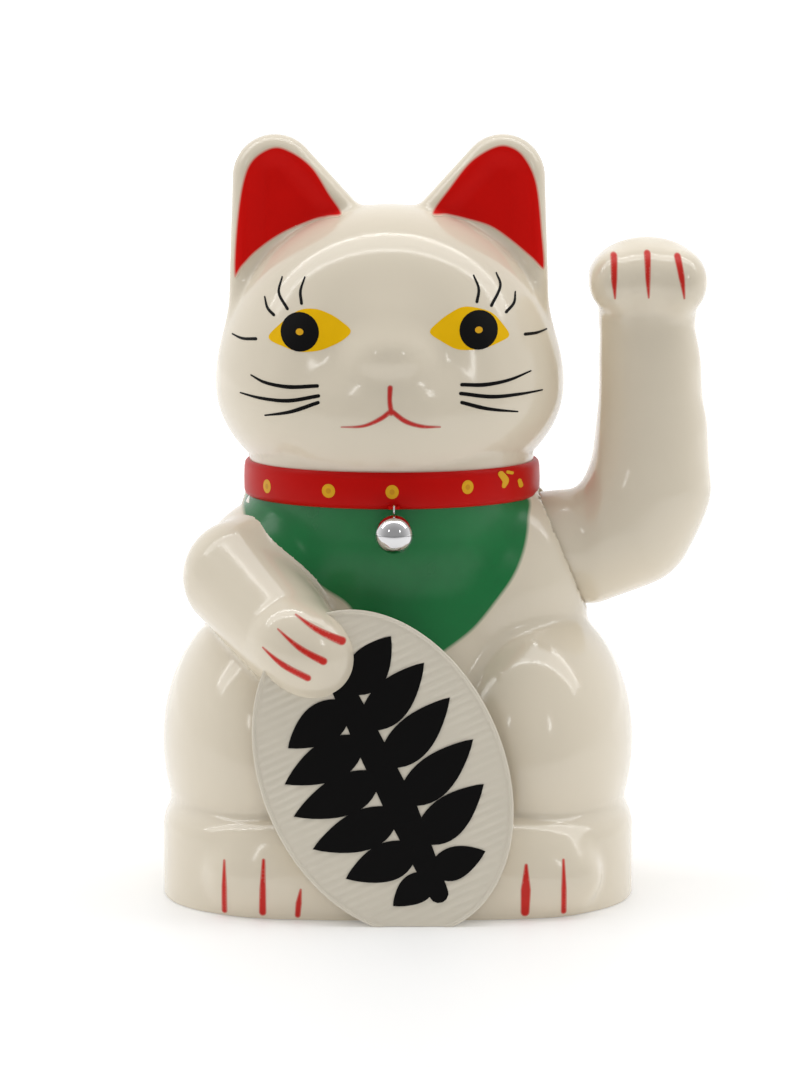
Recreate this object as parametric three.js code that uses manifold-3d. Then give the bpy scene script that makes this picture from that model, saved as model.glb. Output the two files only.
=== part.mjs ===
// Beckoning cat figurine: a hollow moulded body in two half shells that hides a battery-driven
// pendulum.  The pendulum's horizontal shaft leaves the shoulder and carries the waving arm.
// Millimetres, +Z up.  The cat looks along -Y and its waving arm is at +X.
// The origin is on the ground, at the centre of the standing face.
import * as THREE from "three";
import { mergeVertices } from "three/addons/utils/BufferGeometryUtils.js";
import Module from "manifold-3d";

const wasm = await Module();
wasm.setup();

// ---- driving dimensions, mm ----
const FIGURE_HEIGHT = 200; // ground to ear tips
const FIGURE_WIDTH = 126; // across the haunches, without the arm
const WALL = 2.0; // moulded wall of the body
const ARM_WALL = 1.8; // moulded wall of the arm
const GAP = 0.3; // clearance between neighbouring pieces
const RUN = 0.08; // running clearance of the shaft in its bushes
const SEAM = 0.15; // half of the joint line between the half shells
const SHAFT_R = 1.5; // pivot shaft
const ARM_ROOT_R = 14.2; // round root of the arm in its shoulder socket
const SOCKET_PLAY = 1.4; // socket radius beyond the arm root
const PLATE_T = 3.0; // base plate
const CELL_R = 7.1; // AA cell
const CELL_L = 49.2; // AA cell, without its nipple
const COIN_A = 43.2; // coin, half length
const COIN_B = 31.0; // coin, half width
const COIN_T = 4.6; // coin, thickness
const BELL_R = 5.0; // bell

// ---- proportions that follow from them ----
const S = FIGURE_HEIGHT / 200; // scale of the whole sculpt
const SX = FIGURE_WIDTH / 126; // scale across the body
const PIVOT_Z = 90 * S;
const SOCKET_X = 31.5 * S * SX; // inner face of the socket floor
const ARM_ROOT_X = SOCKET_X + 4.7 * S; // end face of the arm root
const LEVER_X = SOCKET_X - 16.5; // plane of the pendulum
const SOCKET_R = (ARM_ROOT_R + SOCKET_PLAY) * S;
const BAY_Y = -32 * S; // axis of the battery cell
const BAY_Z = 11.2; // height of the battery cell
const MAGNET_Z = 29; // centre of the drive magnet
const HEAD_X = -2.4; // the head sits a little to the left of the body

// ---- colours ----
const CREAM = { color: 0xe6dfd2, roughness: 0.25, metalness: 0 };
const GOLD = { color: 0xdfd8c8, roughness: 0.3, metalness: 0 };
const BLACK = { color: 0x26262a, roughness: 0.5, metalness: 0 };
const GREEN = { color: 0x1d5a36, roughness: 0.45, metalness: 0 };
const STEEL = { color: 0xb9bcc2, roughness: 0.25, metalness: 1 };
const NICKEL = { color: 0xd4d4d6, roughness: 0.15, metalness: 1 };
const BRASS = { color: 0xc9a24b, roughness: 0.3, metalness: 1 };
const COPPER = { color: 0xb4623a, roughness: 0.35, metalness: 1 };
const WHITE = { color: 0xe9e9e6, roughness: 0.5, metalness: 0 };
const RED = { color: 0xb3231c, roughness: 0.5, metalness: 0 };

// ======================================================================================
// solids and booleans
// ======================================================================================
function solid(geometry) {
  const bare = new THREE.BufferGeometry();
  const flat = geometry.index ? geometry.toNonIndexed() : geometry;
  bare.setAttribute("position", flat.getAttribute("position").clone());
  const merged = mergeVertices(bare, 1e-4);
  const made = new wasm.Manifold(
    new wasm.Mesh({
      numProp: 3,
      vertProperties: new Float32Array(merged.attributes.position.array),
      triVerts: new Uint32Array(merged.index.array),
    }),
  );
  return made;
}

function join(...list) {
  return list.reduce((a, b) => a.add(b));
}

function cut(a, ...list) {
  return list.reduce((left, b) => left.subtract(b), a);
}

function geometryOf(made) {
  const mesh = made.getMesh();
  const g = new THREE.BufferGeometry();
  const kept = new Float32Array(mesh.numVert * 3);
  for (let i = 0; i < mesh.numVert; i++)
    for (let k = 0; k < 3; k++) kept[3 * i + k] = mesh.vertProperties[mesh.numProp * i + k];
  g.setAttribute("position", new THREE.BufferAttribute(kept, 3));
  g.setIndex(new THREE.BufferAttribute(new Uint32Array(mesh.triVerts), 1));
  return g;
}

const cat = new THREE.Group();
function put(name, made, look, parent = cat) {
  const mesh = new THREE.Mesh(geometryOf(made), new THREE.MeshStandardMaterial(look));
  mesh.geometry.computeVertexNormals();
  mesh.name = name;
  parent.add(mesh);
  return mesh;
}

// ---- simple solids ----
function box(x0, x1, y0, y1, z0, z1) {
  const g = new THREE.BoxGeometry(x1 - x0, y1 - y0, z1 - z0);
  g.translate((x0 + x1) / 2, (y0 + y1) / 2, (z0 + z1) / 2);
  return solid(g);
}

// a cylinder about an axis "x", "y" or "z" that runs from a to b at the other two coordinates
function rod(axis, r, a, b, u, v, sides = 24) {
  const g = new THREE.CylinderGeometry(r, r, b - a, sides);
  if (axis === "x") g.rotateZ(Math.PI / 2).translate((a + b) / 2, u, v);
  if (axis === "y") g.translate(u, (a + b) / 2, v);
  if (axis === "z") g.rotateX(Math.PI / 2).translate(u, v, (a + b) / 2);
  return solid(g);
}

// a profile of [radius, height] pairs turned about the vertical through (x, y)
function turned(profile, x, y, sides = 24) {
  const points = profile.map(([r, h]) => new THREE.Vector2(r, h));
  const g = new THREE.LatheGeometry(points, sides).rotateX(Math.PI / 2);
  return solid(g.translate(x, y, 0));
}

function ring(axis, major, minor, x, y, z, around = 14, sides = 6) {
  const g = new THREE.TorusGeometry(major, minor, sides, around);
  if (axis === "x") g.rotateY(Math.PI / 2);
  if (axis === "y") g.rotateX(Math.PI / 2);
  return solid(g.translate(x, y, z));
}

// a round wire along a smooth curve through the points
function wire(points, r, steps, sides = 8) {
  const curve = new THREE.CatmullRomCurve3(points.map((p) => new THREE.Vector3(...p)));
  const shape = new THREE.Shape();
  shape.absarc(0, 0, r, 0, 2 * Math.PI, false);
  const g = new THREE.ExtrudeGeometry(shape, {
    steps,
    curveSegments: sides / 2,
    extrudePath: curve,
    bevelEnabled: false,
  });
  return solid(g);
}

// ======================================================================================
// the sculpt: smooth shapes as signed distances in the frame of the 200 mm figure
// ======================================================================================
const smoothMin = (a, b, k) => {
  const h = Math.max(k - Math.abs(a - b), 0) / k;
  return Math.min(a, b) - (h * h * k) / 4;
};
const smoothMax = (a, b, k) => -smoothMin(-a, -b, k);

function ellipsoid(p, c, r, lean = 0) {
  const t = (lean * Math.PI) / 180;
  const dx = p[0] - c[0];
  const dz = p[2] - c[2];
  const x = Math.cos(t) * dx - Math.sin(t) * dz;
  const y = p[1] - c[1];
  const z = Math.sin(t) * dx + Math.cos(t) * dz;
  const k0 = Math.hypot(x / r[0], y / r[1], z / r[2]);
  const k1 = Math.hypot(x / r[0] ** 2, y / r[1] ** 2, z / r[2] ** 2);
  return (k0 * (k0 - 1)) / Math.max(k1, 1e-9);
}

function cone(p, a, b, ra, rb) {
  const ab = [b[0] - a[0], b[1] - a[1], b[2] - a[2]];
  const ap = [p[0] - a[0], p[1] - a[1], p[2] - a[2]];
  const along = ap[0] * ab[0] + ap[1] * ab[1] + ap[2] * ab[2];
  const span = ab[0] ** 2 + ab[1] ** 2 + ab[2] ** 2;
  const t = Math.min(Math.max(along / span, 0), 1);
  const away = Math.hypot(ap[0] - t * ab[0], ap[1] - t * ab[1], ap[2] - t * ab[2]);
  return away - (ra + (rb - ra) * t);
}

// the feet: an upright drum with a superelliptic outline and a rounded top edge
const FOOT = { y: -3.3, rx: 60.8, ry: 51.3, top: 25.5, power: 3, edge: 8 };

function headField(p) {
  const x = HEAD_X;
  let d = smoothMin(
    ellipsoid(p, [x, 1, 141.5], [43.6, 36.5, 39.6]),
    ellipsoid(p, [x + 0.4, 0, 131.5], [44, 37, 26]),
    12,
  );
  d = smoothMax(d, -(p[1] + 35.2), 6);
  d = smoothMin(d, ellipsoid(p, [x, -13, 129.5], [37, 25.5, 15]), 7);
  d = smoothMin(d, ellipsoid(p, [x, -29, 130.5], [17, 11.5, 12]), 7);
  d = smoothMin(d, ellipsoid(p, [x, -26.5, 147], [9, 9.5, 8]), 10);
  d = smoothMin(d, ellipsoid(p, [x, -33, 143.2], [8.8, 8.2, 5.6]), 6);
  return smoothMin(d, ellipsoid(p, [x, -25, 119], [17, 10, 9]), 12);
}

// chest, shoulders and neck
function trunkField(p) {
  let d = cone(p, [0, 4, 46], [-2, 2, 88], 43.5, 36);
  d = smoothMin(d, ellipsoid(p, [-29.5, -5, 83], [24.5, 27, 22], -18), 7);
  d = smoothMin(d, ellipsoid(p, [24, 1, 80], [27.5, 28, 30], 8), 8);
  return smoothMin(d, cone(p, [-1.5, 1, 95], [-1.7, 1, 113], 37, 37.9), 3);
}

const haunchField = (side) => (p) => ellipsoid(p, [side * 33.6, -2, 37], [29.2, 45.5, 39.5], side * 4);

// the arm that holds the coin, with its paw
function holdingField(p) {
  const arm = cone(p, [-40.5, -19, 84], [-29.5, -38, 71], 15.5, 13);
  return smoothMin(arm, ellipsoid(p, [-23, -46, 67.5], [14.5, 10.5, 12.3], 38), 3);
}

const tailField = (p) => ellipsoid(p, [12, 43, 17], [13, 7.5, 8], 20);

// the raised arm, as a chain of round cones from its root to the wrist
const ARM_CHAIN = [
  [36, 0, 90, 14.2],
  [50, 0, 90.3, 14.6],
  [61.5, 0, 96.5, 16.4],
  [66.2, 0, 106.5, 16.0],
  [67.2, 0, 121, 13.9],
  [67, 0, 137, 12.3],
  [65.8, 0, 150, 12.6],
];
function armField(p) {
  let d = 1e9;
  for (let i = 1; i < ARM_CHAIN.length; i++) {
    const a = ARM_CHAIN[i - 1];
    const b = ARM_CHAIN[i];
    d = smoothMin(d, cone(p, a, b, a[3], b[3]), 4);
  }
  d = smoothMin(d, ellipsoid(p, [65.9, -1.5, 161.6], [16.4, 13, 11.2]), 4);
  return smoothMin(d, ellipsoid(p, [65.9, -9, 160.5], [15.6, 8.5, 9]), 3);
}

// Push the points of a sphere out to where the field reaches zero.  The rays start on an
// upright line of half length reach about the centre, higher for the higher directions.
function cast(field, centre, reach, wide, high, far) {
  const g = new THREE.SphereGeometry(1, wide, high).rotateX(Math.PI / 2);
  const at = g.getAttribute("position");
  for (let i = 0; i < at.count; i++) {
    const d = new THREE.Vector3().fromBufferAttribute(at, i).normalize();
    const o = [centre[0], centre[1], centre[2] + reach * d.z];
    const t = crossing(field, o, d, far);
    at.setXYZ(i, o[0] + t * d.x, o[1] + t * d.y, o[2] + t * d.z);
  }
  return g;
}

// the farthest place along the ray where it leaves the shape
function crossing(field, o, d, far) {
  const value = (t) => field([o[0] + t * d.x, o[1] + t * d.y, o[2] + t * d.z]);
  let outer = far;
  while (outer > 0.5 && value(outer - 1) > 0) outer -= 1;
  let inner = outer - 1;
  for (let n = 0; n < 14; n++) {
    const middle = (inner + outer) / 2;
    if (value(middle) > 0) outer = middle;
    else inner = middle;
  }
  return (inner + outer) / 2;
}

const sized = (g) => solid(g.scale(S * SX, S, S));

// ======================================================================================
// ears and collar of the body
// ======================================================================================
// A flat triangle with round corners: the core triangle grown by the radius r.
const EAR_CORE = [
  [30.1, 188.2],
  [-14, 140],
  [31.6, 140],
];
function earSolid(side, inset) {
  const r = 11.2 - inset;
  const shape = new THREE.Shape();
  EAR_CORE.forEach((corner, i) => {
    const before = EAR_CORE[(i + 2) % 3];
    const after = EAR_CORE[(i + 1) % 3];
    const a = Math.atan2(corner[1] - before[1], corner[0] - before[0]) - Math.PI / 2;
    let b = Math.atan2(after[1] - corner[1], after[0] - corner[0]) - Math.PI / 2;
    while (b < a) b += 2 * Math.PI;
    const steps = i === 0 ? 6 : 2;
    for (let n = 0; n <= steps; n++) {
      const t = a + ((b - a) * n) / steps;
      const x = corner[0] + r * Math.cos(t);
      const z = corner[1] + r * Math.sin(t);
      if (i + n === 0) shape.moveTo(x, z);
      else shape.lineTo(x, z);
    }
  });
  return tapered(shape, side, inset);
}

// the ear is thicker at its root than at its tip
function tapered(shape, side, inset) {
  const bevel = 3.6 - inset;
  const g = new THREE.ExtrudeGeometry(shape, {
    depth: 2,
    bevelThickness: bevel,
    bevelSize: bevel,
    bevelOffset: -bevel,
    bevelSegments: 2,
  });
  g.translate(0, 0, -1).rotateX(Math.PI / 2);
  const at = g.getAttribute("position");
  for (let i = 0; i < at.count; i++) {
    const z = at.getZ(i);
    const full = 5.2 + 3.6 * Math.min(Math.max((196 - z) / 36, 0), 1) - inset;
    const y = 2 + (at.getY(i) / (1 + bevel)) * full;
    at.setXYZ(i, HEAD_X + side * at.getX(i), y, z);
  }
  if (side < 0) flip(g);
  return sized(g);
}

function flip(g) {
  const at = g.getAttribute("position");
  for (let i = 0; i < at.count; i += 3) {
    const p = new THREE.Vector3().fromBufferAttribute(at, i + 1);
    const q = new THREE.Vector3().fromBufferAttribute(at, i + 2);
    at.setXYZ(i + 1, q.x, q.y, q.z);
    at.setXYZ(i + 2, p.x, p.y, p.z);
  }
}

function collarSolid() {
  const profile = [
    [30, 103.2],
    [38.3, 103.2],
    [39.2, 104.2],
    [39.4, 108.2],
    [39.2, 112.2],
    [38.3, 113.2],
    [30, 113.2],
    [30, 103.2],
  ];
  const points = profile.map(([r, h]) => new THREE.Vector2(r, h));
  const g = new THREE.LatheGeometry(points, 28).rotateX(Math.PI / 2);
  return sized(g.translate(-1.6, 1, 0));
}

// ======================================================================================
// body shells
// ======================================================================================
// outline of the opening under the body
function baseOutline(inset) {
  const shape = new THREE.Shape();
  const rx = FOOT.rx * S * SX - inset;
  const ry = FOOT.ry * S - inset;
  const count = 36;
  for (let i = 0; i < count; i++) {
    const t = (2 * Math.PI * i) / count;
    const c = Math.cos(t);
    const s = Math.sin(t);
    const x = rx * Math.sign(c) * Math.abs(c) ** (2 / FOOT.power);
    const y = FOOT.y * S + ry * Math.sign(s) * Math.abs(s) ** (2 / FOOT.power);
    if (i === 0) shape.moveTo(x, y);
    else shape.lineTo(x, y);
  }
  return shape;
}

function slab(shape, z0, z1) {
  const g = new THREE.ExtrudeGeometry(shape, { depth: z1 - z0, bevelEnabled: false });
  return solid(g.translate(0, 0, z0));
}

// the four screw bosses of the base, [x, y] for each
const BOSSES = [
  [-46 * S * SX, -25 * S],
  [46 * S * SX, -25 * S],
  [-46 * S * SX, 21 * S],
  [46 * S * SX, 21 * S],
];

// one skin of the figure: the outer one with inset 0, the inner one with inset WALL
function skinSolid(inset) {
  const grown = (field) => (p) => field(p) + inset / S;
  const trunk = sized(cast(grown(trunkField), [-1, 0, 66], 20, 22, 12, 80));
  const head = sized(cast(grown(headField), [HEAD_X, 0, 141], 12, 22, 14, 70));
  const sides = [-1, 1].map((s) =>
    sized(cast(grown(haunchField(s)), [s * 33.6, -2, 37], 4, 16, 10, 60)),
  );
  return join(trunk, head, ...sides, footSolid(inset), earSolid(1, inset), earSolid(-1, inset));
}

function outerSkin() {
  const hold = sized(cast(holdingField, [-31, -33, 73], 2, 14, 10, 45));
  const tail = sized(cast(tailField, [12, 43, 17], 1, 12, 8, 30));
  const skin = join(skinSolid(0), hold, tail, collarSolid());
  return skin.intersect(box(-150, 150, -150, 150, 0, 300));
}

function innerSkin() {
  const neck = rod("z", 32 * S, 92 * S, 124 * S, -1.6 * S * SX, 1 * S, 32);
  const foot = slab(baseOutline(WALL), -2, PLATE_T + GAP + 4);
  return join(skinSolid(WALL), neck, foot);
}

// the feet as an extruded outline, rounded over at the top
function footSolid(inset) {
  const edge = FOOT.edge * S - inset;
  const g = new THREE.ExtrudeGeometry(baseOutline(inset + edge), {
    depth: (FOOT.top - FOOT.edge) * S + 20,
    bevelThickness: edge,
    bevelSize: edge,
    bevelSegments: 3,
  });
  return solid(g.translate(0, 0, -20)).intersect(box(-90, 90, -90, 90, -3, 90));
}

function bossSolids() {
  const z0 = PLATE_T + GAP;
  const posts = BOSSES.map(([x, y]) => {
    const out = Math.sign(x);
    const post = rod("z", 3.6, z0, 15, x, y, 16);
    const rib = box(Math.min(x, x + out * 16), Math.max(x, x + out * 16), y - 1, y + 1, z0, 14);
    return join(post, rib);
  });
  return join(...posts);
}

// inside pegs of the front shell that line up with collars of the rear shell
const PEGS = [
  [-43.2, 137],
  [38.4, 137],
  [-58.4, 40],
  [58.4, 40],
].map(([x, z]) => [x * S * SX, z * S]);

function bodyShells() {
  const skin = outerSkin();
  const socket = rod("x", SOCKET_R, SOCKET_X + WALL, 80 * S * SX, 0, PIVOT_Z, 32);
  const cup = rod("x", SOCKET_R + WALL, SOCKET_X, 70 * S * SX, 0, PIVOT_Z, 32);
  const hole = rod("x", 4, SOCKET_X - 5, SOCKET_X + 5, 0, PIVOT_Z, 24);
  const slots = BOSSES.map(([x, y]) => rod("z", 1.3, 2, 13, x, y, 12));
  let shell = cut(skin, innerSkin());
  shell = join(shell, skin.intersect(join(cup, bossSolids())));
  shell = cut(shell, socket, hole, coinSolid(GAP), ...coinHoles(), ...slots, ...stapleHoles());
  const front = shell.intersect(box(-150, 150, -150, -SEAM, -50, 300));
  const rear = shell.intersect(box(-150, 150, SEAM, 150, -50, 300));
  const pegs = PEGS.map(([x, z]) => rod("y", 1.8, -9, 6, x, z, 8));
  const holds = PEGS.map(([x, z]) => rod("y", 3.6, -9.5, 9, x, z, 10));
  const inFront = skin.intersect(join(...holds)).intersect(box(-150, 150, -150, -SEAM, 0, 300));
  const inRear = skin.intersect(join(...holds)).intersect(box(-150, 150, SEAM, 150, 0, 300));
  const bores = PEGS.map(([x, z]) => rod("y", 1.8 + GAP, -1, 7, x, z, 8));
  const free = (made) => cut(made, socket);
  put("front_shell", join(free(front), free(inFront), ...pegs), CREAM);
  put("rear_shell", cut(join(free(rear), free(inRear)), ...bores), CREAM);
}

// ======================================================================================
// coin
// ======================================================================================
const COIN = { x: -3.9, y: -52.6, z: 38.3, tilt: -24.3, lean: 10 };
function placed(g) {
  g.rotateY((COIN.tilt * Math.PI) / 180);
  g.rotateX((-COIN.lean * Math.PI) / 180);
  return g.translate(COIN.x * S * SX, COIN.y * S, COIN.z * S);
}

function coinSolid(grow) {
  const shape = new THREE.Shape();
  shape.absellipse(0, 0, COIN_B * S * SX + grow, COIN_A * S + grow, 0, 2 * Math.PI, false, 0);
  const bevel = grow > 0 ? 0.01 : 0.8;
  const g = new THREE.ExtrudeGeometry(shape, {
    depth: COIN_T + 2 * grow - 2 * bevel,
    curveSegments: 18,
    bevelThickness: bevel,
    bevelSize: bevel,
    bevelOffset: -bevel,
    bevelSegments: 1,
  });
  g.translate(0, 0, bevel - COIN_T / 2 - grow).rotateX(Math.PI / 2);
  const plate = solid(placed(g));
  const floor = grow > 0 ? -5 : 0;
  const above = box(-100, 100, -100, 20, floor, 120);
  return plate.intersect(above);
}

const COIN_PEGS = [-9, 12];
function coinPeg(h, r, length) {
  const g = new THREE.CylinderGeometry(r, r, length, 16);
  return solid(placed(g.translate(0, length / 2, h * S)));
}

function coinHoles() {
  return COIN_PEGS.map((h) => coinPeg(h, 2 + GAP, 14.5));
}

function coin() {
  const pegs = COIN_PEGS.map((h) => coinPeg(h, 2, 12));
  put("coin_plaque", join(coinSolid(0), ...pegs), GOLD);
}

// ======================================================================================
// base plate, battery, switch
// ======================================================================================
const BAY = { length: CELL_L + 7.5, width: 2 * CELL_R + 1.6, top: BAY_Z + CELL_R + 1.0, wall: 1.4 };
const SWITCH = { x: -30 * SX, y: 24 * S };

function basePlate() {
  const w = BAY.width / 2;
  const l = BAY.length / 2;
  const t = BAY.wall;
  let plate = slab(baseOutline(WALL + GAP), 0, PLATE_T);
  plate = join(plate, box(-l - t, l + t, BAY_Y - w - t, BAY_Y + w + t, 1, BAY.top + t));
  plate = cut(plate, box(-l, l, BAY_Y - w, BAY_Y + w, -1, BAY.top));
  plate = cut(plate, box(-l - 1.3, l + 1.3, BAY_Y - w - 1.3, BAY_Y + w + 1.3, -1, 2.3));
  plate = cut(plate, box(SWITCH.x - 4.6, SWITCH.x + 4.6, SWITCH.y - 2.3, SWITCH.y + 2.3, -1, 4));
  plate = cut(plate, ...wireSlots(l));
  for (const [x, y] of BOSSES) {
    plate = cut(plate, rod("z", 1.8, -1, 4, x, y, 16), rod("z", 3.3, -1, 1.6, x, y, 16));
  }
  for (const [x, y] of standoffs()) plate = join(plate, rod("z", 2.6, 2, BOARD_Z - GAP, x, y, 12));
  for (const [x, y] of standoffs()) plate = cut(plate, rod("z", 1.0, 4, BOARD_Z + 1, x, y, 10));
  for (const [x, y] of frameFeet()) plate = join(plate, rod("z", 2.8, 2, FOOT_Z - GAP, x, y, 12));
  for (const [x, y] of frameFeet()) plate = cut(plate, rod("z", 1.0, 1.5, FOOT_Z + 1, x, y, 10));
  put("base_plate", plate, CREAM);
}

// where the leads leave the battery bay
function wireSlots(l) {
  const z = BAY.top - 3;
  return [
    box(-l + 0.3, -l + 3, BAY_Y, BAY_Y + 20, z, z + 2).intersect(box(-90, 90, -90, BAY_Y + 12, 0, 60)),
    box(l - 3, l - 0.3, BAY_Y, BAY_Y + 20, z, z + 2).intersect(box(-90, 90, -90, BAY_Y + 12, 0, 60)),
  ];
}

function baseScrews() {
  BOSSES.forEach(([x, y], i) => {
    const profile = [
      [0, 0.4],
      [2.7, 0.4],
      [2.9, 0.9],
      [1.0, 1.3],
      [1.0, 11],
      [0, 12],
    ];
    const screw = turned(profile, x, y, 12);
    const cross = join(
      box(x - 1.5, x + 1.5, y - 0.35, y + 0.35, 0, 0.9),
      box(x - 0.35, x + 0.35, y - 1.5, y + 1.5, 0, 0.9),
    );
    put("base_screw_" + (i + 1), cut(screw, cross), STEEL);
  });
}

function battery() {
  const half = CELL_L / 2;
  const profile = [
    [0, -half],
    [CELL_R - 0.6, -half],
    [CELL_R, -half + 0.6],
    [CELL_R, half - 0.8],
    [CELL_R - 0.8, half],
    [2.7, half],
    [2.7, half + 1.3],
    [0, half + 1.3],
  ];
  const points = profile.map(([r, h]) => new THREE.Vector2(r, h));
  const g = new THREE.LatheGeometry(points, 24).rotateZ(-Math.PI / 2);
  put("battery_cell", solid(g.translate(0.4, BAY_Y, BAY_Z)), BLACK);
  const l = BAY.length / 2;
  put("contact_plate", box(l - 1.5, l - 1.1, BAY_Y - 5, BAY_Y + 5, BAY_Z - 5, BAY.top - 0.3), BRASS);
  springContact(-l);
  const w = BAY.width / 2 + 1;
  const door = box(-l - 1, l + 1, BAY_Y - w, BAY_Y + w, 0, 2);
  const grips = [-6, -3, 0, 3, 6].map((x) => box(x - 0.6, x + 0.6, BAY_Y - 5, BAY_Y + 5, -1, 0.5));
  put("battery_door", cut(door, ...grips), CREAM);
}

function springContact(x) {
  const plate = box(x + 0.3, x + 0.7, BAY_Y - 5, BAY_Y + 5, BAY_Z - 5, BAY.top - 0.3);
  const points = [];
  const turns = 2.5;
  for (let i = 0; i <= 30; i++) {
    const t = i / 30;
    const angle = 2 * Math.PI * turns * t;
    const r = 4 - 1.6 * t;
    points.push([x + 0.7 + 2.9 * t, BAY_Y + r * Math.cos(angle), BAY_Z + r * Math.sin(angle)]);
  }
  put("contact_spring", join(plate, wire(points, 0.35, 30, 4)), NICKEL);
}

function slideSwitch() {
  const { x, y } = SWITCH;
  const bodyOf = box(x - 6.5, x + 6.5, y - 4, y + 4, PLATE_T + GAP, PLATE_T + 6);
  const ways = box(x - 4.6, x + 4.6, y - 2.3, y + 2.3, 0, PLATE_T + 3.2);
  put("switch_body", cut(bodyOf, ways), BLACK);
  const k = x - 2;
  const knob = join(
    box(k - 1.6, k + 1.6, y - 1.6, y + 1.6, 0.5, PLATE_T + 2.6),
    box(k - 2.2, k + 2.2, y - 1.9, y + 1.9, PLATE_T + 0.8, PLATE_T + 2.6),
  );
  put("switch_knob", knob, BLACK);
}

// ======================================================================================
// drive board and coil
// ======================================================================================
const BOARD_Z = 11.5; // underside of the board
const BOARD_T = 1.6;
const BOARD = { x: LEVER_X, y: 0, hx: 20, hy: 12.5 };
function standoffs() {
  return [
    [BOARD.x - 16.5, 9],
    [BOARD.x + 16.5, -9],
  ];
}

function board() {
  const { x, y, hx, hy } = BOARD;
  const top = BOARD_Z + BOARD_T;
  let plate = box(x - hx, x + hx, y - hy, y + hy, BOARD_Z, top);
  for (const [u, v] of standoffs()) plate = cut(plate, rod("z", 1.3, 5, 20, u, v, 12));
  put("drive_board", plate, GREEN);
  standoffs().forEach(([u, v], i) => {
    const profile = [
      [0, top + 1.9],
      [2, top + 1.5],
      [2.1, top + GAP],
      [0.7, top + GAP],
      [0.7, top - 6],
      [0, top - 6.6],
    ].reverse();
    put("board_screw_" + (i + 1), turned(profile, u, v, 14), STEEL);
  });
  coil(x, y, top + GAP);
  const can = rod("z", 2.6, top + GAP, top + 7.5, x - 15, y - 6, 20);
  put("capacitor", can, BLACK);
  const chip = [box(x + 12, x + 17, y + 3, y + 9, top + 0.7, top + 2.4)];
  for (const v of [3.8, 5.4, 7, 8.2]) {
    chip.push(box(x + 10.8, x + 18.2, y + v - 0.2, y + v + 0.4, top + GAP, top + 1.2));
  }
  put("driver_chip", join(...chip), BLACK);
}

function coil(x, y, z) {
  const spool = [
    [2, z],
    [9, z],
    [9, z + 1],
    [4, z + 1],
    [4, z + 8.4],
    [9, z + 8.4],
    [9, z + 9.4],
    [2, z + 9.4],
    [2, z],
  ];
  put("coil_bobbin", turned(spool, x, y, 20), WHITE);
  const copper = [
    [4.3, z + 1.3],
    [8.4, z + 1.3],
    [8.4, z + 8.1],
    [4.3, z + 8.1],
    [4.3, z + 1.3],
  ];
  put("coil_winding", turned(copper, x, y, 20), COPPER);
}

// ======================================================================================
// pivot frame and pendulum
// ======================================================================================
const FOOT_Z = 6;
const FRAME = { near: LEVER_X - 11.5, far: LEVER_X + 9, t: 2.5, leg: 15.2 };
function frameFeet() {
  const x = (FRAME.near + FRAME.far + FRAME.t) / 2;
  return [
    [x, -FRAME.leg - 0.6],
    [x, FRAME.leg + 0.6],
  ];
}

// an A-shaped plate in the plane of y and z, its boss about the pivot
function framePlate(x) {
  const shape = new THREE.Shape();
  const h = PIVOT_Z;
  const points = [
    [-18.5, FOOT_Z],
    [-13.2, FOOT_Z],
    [-13.2, 26],
    [-5, h - 16],
    [5, h - 16],
    [13.2, 26],
    [13.2, FOOT_Z],
    [18.5, FOOT_Z],
    [18.5, 28],
    [8, h],
    [5, h + 6],
    [-5, h + 6],
    [-8, h],
    [-18.5, 28],
  ];
  points.forEach(([y, z], i) => (i ? shape.lineTo(y, z) : shape.moveTo(y, z)));
  const g = new THREE.ExtrudeGeometry(shape, { depth: FRAME.t, bevelEnabled: false });
  g.rotateX(Math.PI / 2).rotateZ(Math.PI / 2);
  return solid(g.translate(x, 0, 0));
}

function pivotFrame() {
  const { near, far, t } = FRAME;
  let frame = join(framePlate(near), framePlate(far));
  for (const s of [-1, 1]) {
    const y0 = Math.min(s * 13.2, s * 18.5);
    frame = join(frame, box(near, far + t, y0, y0 + 5.3, FOOT_Z, FOOT_Z + 2.5));
    frame = join(frame, box(near, far + t, s * 6.2 - 1.2, s * 6.2 + 1.2, PIVOT_Z + 2, PIVOT_Z + 5));
  }
  frame = cut(frame, rod("x", 3.5 + GAP, near - 1, far + t + 1, 0, PIVOT_Z, 24));
  for (const [x, y] of frameFeet()) frame = cut(frame, rod("z", 1.4, 3, 12, x, y, 12));
  put("pivot_frame", frame, WHITE);
  frameFeet().forEach(([x, y], i) => {
    const top = FOOT_Z + 2.5 + GAP;
    const profile = [
      [0, 2.6],
      [0.7, 3.2],
      [0.7, top],
      [2.1, top],
      [2.0, top + 1.2],
      [0, top + 1.6],
    ];
    put("frame_screw_" + (i + 1), turned(profile, x, y, 14), STEEL);
  });
  bush("inner_bush", near);
  bush("outer_bush", far);
}

function bush(name, x) {
  const t = FRAME.t;
  const sleeve = join(
    rod("x", 3.5, x - 0.5, x + t + 0.5, 0, PIVOT_Z, 16),
    rod("x", 5, x - 1.6, x - GAP, 0, PIVOT_Z, 16),
  );
  put(name, cut(sleeve, rod("x", SHAFT_R + RUN, x - 3, x + t + 3, 0, PIVOT_Z, 16)), BRASS);
}

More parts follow.
